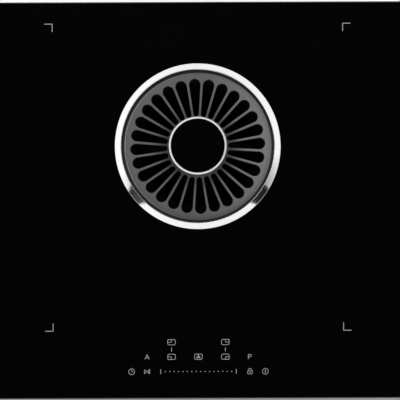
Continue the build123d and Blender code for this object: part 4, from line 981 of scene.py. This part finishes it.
@dataclass
class GlassPrint(SubAssembly):
    """Zone corner marks and touch symbols printed on the glass, in millimetres.

    Attributes:
        zone_side: X of the zones' inner edges.
        zone_rows: Y of the corner marks, rear and front.
        mark_arm: Length of a mark's arm.
        mark_line: Width of its line.
        rows: Y of the zone symbols, rear and front.
        slider_row: Y of the slider.
        zone_column: X of the zone symbols.
        letter_column: X of the letters.
        lock_column: X of start and lock.
        clock_column: X of clock and switch.
        icon: Width and height of a zone symbol.
        icon_corner: Its corner radius.
        small: Width, height and corner of the small rectangle in it, as shares.
        link: Half length of the line between two zone symbols.
        fan_reach: Length of a fan blade.
        blade: Its width, and place and radius of its tip, as shares of its length.
        letter: Half width and half height of a letter.
        letter_line: Its line, in pen widths.
        bar: Half length and drop of the A's bar, as shares of these halves.
        stem: Place of the P's stem left of its middle, as a share.
        bowl: Place, width, height and corner of the P's bowl, as shares.
        slider_end: X of the slider's end bars.
        slider_bar: Their half height.
        slider_line: Their line, in pen widths.
        dot_count: Dots on the slider.
        dot_spacing: Distance between them.
        dot_radius: Their radius.
        disc_radius: Radius of clock and switch.
        hands: Lengths of the clock's hands, as shares of it.
        switch: Half length of the switch's bar as a share of it, and its line in pen widths.
        pause: Half height of the pause bars, as a share of a letter's.
        play: Place of the triangle, and its size as a share of that.
        bars: Place and distance of the bars, and their line in pen widths.
        lock: Width, height and corner of the padlock's body, as shares.
        body_drop: Drop of its middle, as a share of its height.
        shackle: Rise, leg and radius of the shackle, as shares of its height and width.
        keyhole: Half length of the keyhole, as a share of its width.
    """

    slot: ClassVar[str] = "white_ceramic"
    finish: ClassVar[Finish] = INK
    zone_side: float = 190.0
    zone_rows: Point = (231.0, -170.7)
    mark_arm: float = 10.3
    mark_line: float = 0.74
    rows: Point = (-185.6, -204.75)
    slider_row: float = -224.05
    zone_column: float = 35.2
    letter_column: float = 67.2
    lock_column: float = 67.3
    clock_column: float = 87.5
    icon: Point = (10.6, 7.5)
    icon_corner: float = 2.1
    small: Triple = (0.52, 0.56, 0.75)
    link: float = 2.775
    fan_reach: float = 2.25
    blade: Triple = (0.5, 0.85, 0.4)
    letter: Point = (2.7, 3.2)
    letter_line: float = 1.1
    bar: Point = (0.6, 0.35)
    stem: float = 0.7
    bowl: Tuple[float, ...] = (0.74, 1.6, 1.16, 0.46)
    slider_end: float = 49.4
    slider_bar: float = 3.1
    slider_line: float = 1.2
    dot_count: int = 16
    dot_spacing: float = 5.79
    dot_radius: float = 0.58
    disc_radius: float = 4.1
    hands: Point = (0.74, 0.42)
    switch: Point = (0.6, 1.3)
    pause: float = 0.93
    play: Point = (1.9, 1.12)
    bars: Triple = (2.2, 1.3, 1.15)
    lock: Triple = (2.55, 1.4, 0.28)
    body_drop: float = 0.3
    shackle: Triple = (0.35, 0.2, 0.36)
    keyhole: float = 0.16

    def model(self) -> List[bpy.types.Object]:
        """Draws all marks and symbols.

        Returns:
            One piece of ink for each group.
        """
        pen = InkPen(level=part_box("glass_top")[1].z)
        groups = (
            self.zone_marks,
            self.zone_symbols,
            self.fan_symbol,
            self.letters,
            self.slider,
            self.round_symbols,
            self.start_symbol,
            self.lock_symbol,
        )
        pieces = []
        for group in groups:
            group(pen)
            pieces.append(pen.lift_off("print_" + group.__name__))
        return pieces

    def zone_marks(self, pen: InkPen) -> None:
        """Four corner marks at the inner edges of the cooking zones.

        Args:
            pen: The pen that draws.
        """
        x, y, half = self.zone_side, self.zone_rows[0], self.mark_line / 2
        wide = self.mark_line / pen.line
        pen.stroke((x - half, y), (x + self.mark_arm, y), wide)
        pen.stroke((x, y + half), (x, y - self.mark_arm), wide)
        pen.echo(2, [corner.carry(*self.zone_rows) for corner in OTHER_CORNERS])

    def zone_symbols(self, pen: InkPen) -> None:
        """A rounded rectangle for each zone, with the zone's place as a small one in its corner.

        Args:
            pen: The pen that draws.
        """
        x, y = self.zone_column, self.rows[0]
        width, height = self.icon
        across, up, corner = self.small
        pen.frame((x, y), width, height, self.icon_corner)
        inner = (x + width * (1.0 - across) / 2, y + height * (1.0 - up) / 2)
        pen.frame(inner, width * across, height * up, self.icon_corner * corner)
        pen.echo(2, [place.carry(*self.rows) for place in OTHER_CORNERS])
        middle = sum(self.rows) / 2
        pen.stroke((x, middle + self.link), (x, middle - self.link))
        pen.echo(1, [pen.mirror(0.0)])

    def fan_symbol(self, pen: InkPen) -> None:
        """A rounded rectangle with a fan of three blades.

        Args:
            pen: The pen that draws.
        """
        centre = (0.0, self.rows[1])
        width, place, tip = self.blade
        reach = self.fan_reach
        pen.frame(centre, *self.icon, self.icon_corner)
        pen.stroke(centre, (0.0, centre[1] + reach), reach * width / pen.line)
        pen.dot((0.0, centre[1] + reach * place), reach * tip)
        pen.echo(2, [pen.turn(centre, degrees) for degrees in (120.0, 240.0)], crossing=True)

    def letters(self, pen: InkPen) -> None:
        """A for automatic and P for full power.

        Args:
            pen: The pen that draws.
        """
        across, half = self.letter
        line = self.letter_line
        x, y = -self.letter_column, self.rows[1]
        run, drop = across * self.bar[0], half * self.bar[1]
        pen.stroke((x - run, y - drop), (x + run, y - drop), line)
        pen.stroke((x, y + half), (x + across, y - half), line)
        pen.echo(1, [pen.mirror(x)], crossing=True)
        place, width, height, corner = self.bowl
        x = self.letter_column - across * self.stem
        pen.stroke((x, y + half), (x, y - half), line)
        bowl = half * height
        pen.frame((x + across * place, y + half - bowl / 2), across * width, bowl, bowl * corner)

    def slider(self, pen: InkPen) -> None:
        """Power slider: a bar at each end and a row of dots.

        Args:
            pen: The pen that draws.
        """
        x, y = self.slider_end, self.slider_row
        pen.stroke((x, y - self.slider_bar), (x, y + self.slider_bar), self.slider_line)
        pen.echo(1, [pen.mirror(0.0)])
        pen.dot((-self.dot_spacing * (self.dot_count - 1) / 2, y), self.dot_radius)
        pen.echo(1, [pen.shift(order * self.dot_spacing) for order in range(1, self.dot_count)])

    def round_symbols(self, pen: InkPen) -> None:
        """The clock on the left and the on/off switch on the right.

        Args:
            pen: The pen that draws.
        """
        x, y, radius = self.clock_column, self.slider_row, self.disc_radius
        minute, hour = (radius * share for share in self.hands)
        pen.ring((-x, y), radius)
        pen.echo(1, [pen.shift(2.0 * x)])
        pen.stroke((-x, y + minute), (-x, y - pen.line / 2))
        pen.stroke((-x, y), (-x + hour, y))
        half = radius * self.switch[0]
        pen.stroke((x, y + half), (x, y - half), self.switch[1])

    def start_symbol(self, pen: InkPen) -> None:
        """A triangle and two bars for start and pause.

        Args:
            pen: The pen that draws.
        """
        x, y = -self.lock_column, self.slider_row
        half = self.letter[1] * self.pause
        place, gap, line = self.bars
        pen.triangle((x - self.play[0], y), half * self.play[1])
        pen.stroke((x + place, y - half), (x + place, y + half), line)
        pen.echo(1, [pen.shift(gap)])

    def lock_symbol(self, pen: InkPen) -> None:
        """A padlock for the child lock.

        Args:
            pen: The pen that draws.
        """
        x, y = self.lock_column, self.slider_row
        width, height = self.letter[0] * self.lock[0], self.letter[1] * self.lock[1]
        rise, leg, radius = self.shackle
        low, half = y - height * self.body_drop, width * self.keyhole
        pen.frame((x, low), width, height, height * self.lock[2])
        pen.arch((x, y + height * rise), width * radius, height * leg)
        pen.stroke((x - half, low), (x + half, low))


# --- fasteners
@dataclass
class PanScrew:
    """A pan-head screw with a cross recess, modelled once and copied, in metres.

    Attributes:
        radius: Radius of the head.
        height: Height of the head.
        recess: Reach of the cross recess.
        rounding: Radius of the head's edge, as a share of its height.
        land: Width of the rim round its flat top, as a share of its radius.
        upper: Height over which its top edge lies, as a share of its own.
        arm: Width of the recess, as a share of its reach.
        sunk: Height of what cuts it, as a share of the head's.
        flat: Least Z of the normal of a face that counts as the top.
        smooth: Angle up to which two faces look as one, in degrees.
    """

    radius: float = 0.0036
    height: float = 0.0014
    recess: float = 0.0019
    rounding: float = 0.6
    land: float = 0.2
    upper: float = 0.9
    arm: float = 0.42
    sunk: float = 0.9
    flat: ClassVar[float] = 0.99
    smooth: ClassVar[float] = 30.0

    def model(self) -> bpy.types.Object:
        """Makes one screw head at the origin, with its top towards +Z.

        Returns:
            The piece, in object mode.
        """
        Bench.clear()
        bpy.ops.mesh.primitive_cylinder_add(
            vertices=24, radius=self.radius, depth=self.height, location=(0.0, 0.0, self.height / 2)
        )
        piece = Bench.start("pan_screw")
        top = self.height * self.upper
        Bench.pick(piece, "edges", lambda edge: all(vertex.co.z > top for vertex in edge.verts))
        bpy.ops.mesh.bevel(offset=self.height * self.rounding, segments=3, affect="EDGES")
        Bench.pick(piece, "faces", lambda face: face.normal.z > self.flat)
        bpy.ops.mesh.inset(thickness=self.radius * self.land)
        bpy.ops.object.mode_set(mode="OBJECT")
        for cutter in [self.cutter(turn) for turn in (0.0, math.pi / 2)]:
            Bench.clear()
            bpy.context.view_layer.objects.active = piece
            piece.select_set(True)
            cut = piece.modifiers.new("cross", "BOOLEAN")
            cut.operation = "DIFFERENCE"
            cut.solver = "EXACT"
            cut.object = cutter
            bpy.ops.object.modifier_apply(modifier=cut.name)
            bpy.data.objects.remove(cutter)
        bpy.ops.object.shade_smooth_by_angle(angle=math.radians(self.smooth))
        return piece

    def cutter(self, turn: float) -> bpy.types.Object:
        """Makes the block that cuts one arm of the recess.

        Args:
            turn: Its turn about the screw's axis in radians.

        Returns:
            The block, in object mode.
        """
        Bench.clear()
        bpy.ops.mesh.primitive_cube_add(
            size=1.0, location=(0.0, 0.0, self.height), rotation=(0.0, 0.0, turn)
        )
        reach = self.recess
        bpy.context.object.scale = (reach * 2, reach * self.arm, self.height * self.sunk)
        block = Bench.start("cross_arm")
        bpy.ops.object.mode_set(mode="OBJECT")
        return block

    def set_out(self, name: str, places: Iterable[Seat]) -> bpy.types.Object:
        """Copies the screw to each place and joins the copies.

        Args:
            name: Name of the joined piece.
            places: Seat and outward direction of each screw.

        Returns:
            The joined piece.
        """
        model = self.model()
        copies = []
        for seat, outward in places:
            turn = Vector((0.0, 0.0, 1.0)).rotation_difference(outward).to_matrix().to_4x4()
            copies.append(Bench.copy(model, Matrix.Translation(seat) @ turn))
        bpy.data.objects.remove(model)
        return Bench.join(name, copies)


@dataclass
class Fasteners(SubAssembly):
    """Screws that hold the lids, the outlet flange and the clamps, all in metres.

    Attributes:
        lid_inset: Distance of a lid's screws from its edges.
        lid_depth: Depth of the recess they sit in.
        flange_across: X of the flange's screws from its middle.
        flange_up: Z of the flange's screws from its middle.
        flange_sheet: Thickness of the flange.
        clamp_row: Y of a clamp from the middle.
        clamp_spread: Y of a clamp's screws from its own middle.
        clamp_drop: Distance of these screws below the clamp's top.
        clamp_reach: How far the clamp's outer face lies inside the tray's widest point.
        flange_screw: Radius, height and recess of the flange's screws.
        clamp_screw: The same of the clamps' screws.
    """

    slot: ClassVar[str] = "zinc_screw"
    finish: ClassVar[Finish] = ZINC
    lid_inset: float = 0.009
    lid_depth: float = 0.0016
    flange_across: float = 0.116
    flange_up: float = 0.022
    flange_sheet: float = 0.003
    clamp_row: float = 0.15
    clamp_spread: float = 0.007
    clamp_drop: float = 0.009
    clamp_reach: float = 0.006
    flange_screw: Triple = (0.0034, 0.0018, 0.0018)
    clamp_screw: Triple = (0.0042, 0.002, 0.002)

    def model(self) -> List[bpy.types.Object]:
        """Makes each group of screws.

        Returns:
            The pieces.
        """
        return [
            PanScrew().set_out("screws_fan_box", self.lid_places("fan_control_box")),
            PanScrew().set_out("screws_terminal_cover", self.lid_places("terminal_cover")),
            PanScrew(*self.flange_screw).set_out("screws_outlet_flange", self.flange_places()),
            PanScrew(*self.clamp_screw).set_out("screws_clamps", self.clamp_places()),
        ]

    def lid_places(self, node: str) -> List[Seat]:
        """Finds the four recesses in the underside of a box.

        Args:
            node: The box's CAD node.

        Returns:
            Seat and outward direction of each screw.
        """
        low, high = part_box(node)
        down = Vector((0.0, 0.0, -1.0))
        edges = [(low[axis] + self.lid_inset, high[axis] - self.lid_inset) for axis in (0, 1)]
        return [(Vector((x, y, low.z + self.lid_depth)), down) for x, y in product(*edges)]

    def flange_places(self) -> List[Seat]:
        """Finds the holes of the outlet's flange.

        Returns:
            Seat and outward direction of each screw.
        """
        low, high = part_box("outlet_spigot")
        middle = (low + high) / 2
        rear = Vector((0.0, 1.0, 0.0))
        seats = []
        for side, row in product((-1, 1), (-1, 1)):
            x = middle.x + side * self.flange_across
            z = middle.z + row * self.flange_up
            seats.append((Vector((x, low.y + self.flange_sheet, z)), rear))
        return seats

    def clamp_places(self) -> List[Seat]:
        """Finds two places on each clamp, for screws into the side of the tray.

        Returns:
            Seat and outward direction of each screw.
        """
        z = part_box("clamp_brackets")[1].z - self.clamp_drop
        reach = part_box("induction_tray")[1].x - self.clamp_reach
        seats = []
        for side, row, shift in product((-1, 1), (-1, 1), (-self.clamp_spread, self.clamp_spread)):
            place = Vector((side * reach, row * self.clamp_row + shift, z))
            seats.append((place, Vector((side, 0.0, 0.0))))
        return seats


# --- studio
@dataclass(frozen=True)
class DarkStand:
    """A dark stand beside the camera that the trim ring mirrors, with the half-shade next to it.

    Attributes:
        azimuth: Direction of its middle, in degrees clockwise from the rear.
        half_width: Half of its width, in degrees.
        side: 1 where the half-shade lies clockwise of the stand, otherwise -1.
        reach: Width of the half-shade, in degrees.
        half_shade: Share of the light that the half-shade takes where it starts.
        depth: Share that the stand takes at its front and at its rear edge.
        ring: Heights of direction that the ring mirrors at its outer and its inner edge.
        spread: Squared width of the stand at these heights, as shares.
        fade: Strength of the half-shade at these heights.
        soft: Squared distances from the middle between which the edge fades.
        foot: Heights of direction between which both begin.
        onset: Where the half-shade sets in, as a share of the half width.
        ahead: Least distance ahead, so that the stand has no twin behind the camera.
    """

    azimuth: float
    half_width: float
    side: float
    reach: float
    half_shade: float
    depth: Point
    ring: ClassVar[Point] = (0.8126, 0.8176)
    spread: ClassVar[Point] = (0.6, 1.6)
    fade: ClassVar[Point] = (0.12, 1.38)
    soft: ClassVar[Point] = (0.95, 1.05)
    foot: ClassVar[Point] = (0.785, 0.795)
    onset: ClassVar[float] = 0.1
    ahead: ClassVar[float] = 0.0001

    def dark(self, x: Value, y: Value, level: Value, fray: Value) -> Value:
        """Gives how much of the light is missing in a direction.

        Args:
            x: Direction to the right.
            y: Direction to the rear.
            level: Height of the direction, corrected for the lean of the ring's reflections.
            fray: Small noise that frays the edges.

        Returns:
            0 where nothing is missing, 1 where all of it is.
        """
        angle = math.radians(self.azimuth)
        near = math.tan(math.radians(self.half_width))
        far = math.tan(math.radians(self.half_width + self.reach))
        along = (x * math.sin(angle) + y * math.cos(angle)).largest(self.ahead)
        slope = (x * math.cos(angle) - y * math.sin(angle)) / along * self.side
        ratio = slope * slope / (level.slant(*self.ring, *self.spread) * near**2) + fray
        stand = ratio.ramp(*self.soft, 1.0, 0.0) * slope.slant(-near, near, *self.depth)
        half = slope.slant(near, far, self.half_shade, 0.0) * slope.ramp(0.0, self.onset * near)
        half = half * level.slant(*self.ring, *self.fade)
        return stand.largest(half) * level.ramp(*self.foot)


@dataclass
class Studio:
    """Pale floor, soft light and the camera over the glass, in metres and degrees.

    Attributes:
        view_width: Width of what the camera sees on the glass.
        distance: Height of the camera over the glass.
        shift: Place of the camera right of and behind the middle of the glass.
        roll: Turn of the picture.
        sensor: Width of the camera's sensor in millimetres.
        floor_size: Width of the floor.
        floor_gap: Distance of the floor below the housing.
        floor_seen: Tone of the floor in the picture and in mirrors.
        floor_brightest: Highest tone that it can reach there.
        floor_bounce: Tone of the floor for the light that it sends up.
        strip: Distance to the rear and front at which the camera sees the floor.
        strip_reach: How far the painted pool of light behind and the painted shadow in front reach from
            there.
        strip_end: Where this ends on both sides, as a multiple of strip.
        painted_pool_and_shadow: How much lighter the floor is painted there, as a painted pool of light
            at the rear and a painted shadow in front.
        ambient: Strength of the light from all round on matt surfaces.
        lamp_power: Power of the lamp in watts.
        lamp_size: Width and height of the lamp.
        lamp_place: Where the lamp hangs.
        lamp_aim: The point that it faces.
        dark_zenith: Angles from straight up between which the dark ceiling ends.
        dark_stands: What the trim ring mirrors on its two sides.
        ring_lean: Change of height from front to rear of the directions that the ring mirrors.
        fray_scale: Waves of the noise that frays the stands.
        fray: Strength of this noise.
        rings: Heights of direction between those that the cap's ring and the trim ring mirror.
        sky: Strength of the mirrored light at these heights.
        sky_lean: How much weaker it is to the right there.
        sky_sides: How much stronger it is to both sides there.
    """

    view_width: float = 0.5233
    distance: float = 0.85
    shift: Point = (0.0027, 0.0003)
    roll: float = -0.19
    sensor: float = 36.0
    floor_size: float = 12.0
    floor_gap: float = 0.0005
    floor_seen: float = 0.9
    floor_brightest: float = 2.0
    floor_bounce: float = 0.72
    strip: float = 0.325
    strip_reach: float = 0.15
    strip_end: float = 2.2
    painted_pool_and_shadow: Point = (0.42, -0.24)
    ambient: float = 0.62
    lamp_power: float = 26.0
    lamp_size: Point = (1.6, 1.0)
    lamp_place: Triple = (-0.3, 1.9, 2.2)
    lamp_aim: Triple = (0.0, 0.0, 0.2)
    dark_zenith: Point = (30.0, 26.0)
    dark_stands: Tuple[DarkStand, ...] = (
        DarkStand(238.2, 8.1, 1.0, 12.0, 0.5, (0.92, 0.975)),
        DarkStand(121.6, 7.7, -1.0, 27.0, 0.52, (0.975, 0.99)),
    )
    ring_lean: float = 0.083
    fray_scale: float = 40.0
    fray: float = 0.9
    rings: Point = (0.78, 0.8)
    sky: Point = (0.82, 0.98)
    sky_lean: Point = (0.12, 0.06)
    sky_sides: Point = (0.0, 0.28)

    def build(self) -> None:
        """Sets up the camera, the floor, the world and the lamp."""
        self.camera()
        self.floor()
        self.world()
        self.lamp()
        bpy.context.scene.view_settings.view_transform = "Standard"

    def camera(self) -> None:
        """Places the camera straight above the glass."""
        lens = bpy.data.cameras.new("camera_over_glass")
        lens.sensor_width = self.sensor
        lens.lens = self.sensor * self.distance / self.view_width
        lens.clip_start = 0.01
        camera = bpy.data.objects.new("camera_over_glass", lens)
        bpy.context.scene.collection.objects.link(camera)
        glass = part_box("glass_top")[1].z
        camera.location = (*self.shift, glass + self.distance)
        camera.rotation_euler = (0.0, 0.0, math.radians(self.roll))
        bpy.context.scene.camera = camera

    def floor(self) -> None:
        """Adds the pale floor just under the housing, with a painted pool of light behind and a painted
        shadow in front where the camera sees it at rest.
        """
        Bench.clear()
        place = (0.0, 0.0, cad_box[0][2] - self.floor_gap)
        bpy.ops.mesh.primitive_plane_add(size=self.floor_size, location=place)
        floor = bpy.context.object
        floor.name = "floor"
        material = bpy.data.materials.new("pale_floor")
        material.use_nodes = True
        shader = Shader(material.node_tree)
        x, y, _ = shader.parts(shader.place())
        # Painted pool of light behind the glass and painted shadow in front of it, held to the middle.
        rear, front = (
            (y - sign * self.strip).size().ramp(0.0, self.strip_reach, tone, 0.0)
            for sign, tone in zip((1.0, -1.0), self.painted_pool_and_shadow)
        )
        middle = x.size().ramp(self.strip, self.strip_end * self.strip, 1.0, 0.0)
        level = (rear + front) * middle + self.floor_seen
        tone = shader.tint((1.0, 1.0, 1.0), level, self.floor_brightest)
        seen = shader.rays("Camera", "Glossy", "Transmission")
        tone = shader.mix(seen, (self.floor_bounce,) * 3, tone)
        surface = shader.node("ShaderNodeBsdfDiffuse", {}, {"Color": tone})
        shader.node("ShaderNodeOutputMaterial", {}, {"Surface": surface.outputs[0]})
        floor.data.materials.append(material)

    def world(self) -> None:
        """Soft light from all round, with a dark ceiling and two dark stands for reflections."""
        world = bpy.data.worlds.new("studio")
        bpy.context.scene.world = world
        world.use_nodes = True
        shader = Shader(world.node_tree)
        direction = shader.node("ShaderNodeTexCoord", {}, {}).outputs["Generated"]
        x, y, z = shader.parts(direction)
        bright = z.ramp(*(math.cos(math.radians(angle)) for angle in self.dark_zenith), 1.0, 0.0)
        level = z + y * self.ring_lean
        noise = {"Vector": direction, "Scale": self.fray_scale, "Detail": 2.0}
        fray = (shader.value("ShaderNodeTexNoise", {}, noise) - 0.5) * self.fray
        dark = most([stand.dark(x, y, level, fray) for stand in self.dark_stands])
        sky = level.ramp(*self.rings, *self.sky) - x * level.ramp(*self.rings, *self.sky_lean)
        sky = sky + x * x * level.ramp(*self.rings, *self.sky_sides)
        glossy = shader.rays("Glossy")
        seen = shader.rays("Camera", "Transmission")
        plain = (1.0 - glossy) * (1.0 - seen) * self.ambient
        strength = plain + glossy * bright * (1.0 - dark) * sky + seen
        values = {"Color": (1.0, 1.0, 1.0, 1.0), "Strength": strength}
        back = shader.node("ShaderNodeBackground", {}, values)
        shader.node("ShaderNodeOutputWorld", {}, {"Surface": back.outputs[0]})

    def lamp(self) -> None:
        """A large soft lamp high behind the glass."""
        light = bpy.data.lights.new("key_lamp", "AREA")
        light.shape = "RECTANGLE"
        light.size, light.size_y = self.lamp_size
        light.energy = self.lamp_power
        lamp = bpy.data.objects.new("key_lamp", light)
        bpy.context.scene.collection.objects.link(lamp)
        lamp.visible_glossy = False
        lamp.location = self.lamp_place
        aim = Vector(self.lamp_aim) - Vector(self.lamp_place)
        lamp.rotation_euler = aim.to_track_quat("-Z", "Y").to_euler()


# --- assembly
def main() -> None:
    """Builds the looks in order."""
    logging.basicConfig(level=logging.INFO, format="%(name)s: %(message)s")
    wardrobe = Wardrobe()
    wardrobe.dress_cad()
    GlassPrint(wardrobe).build()
    Fasteners(wardrobe).build()
    Studio().build()


if __name__ == "__main__":
    main()
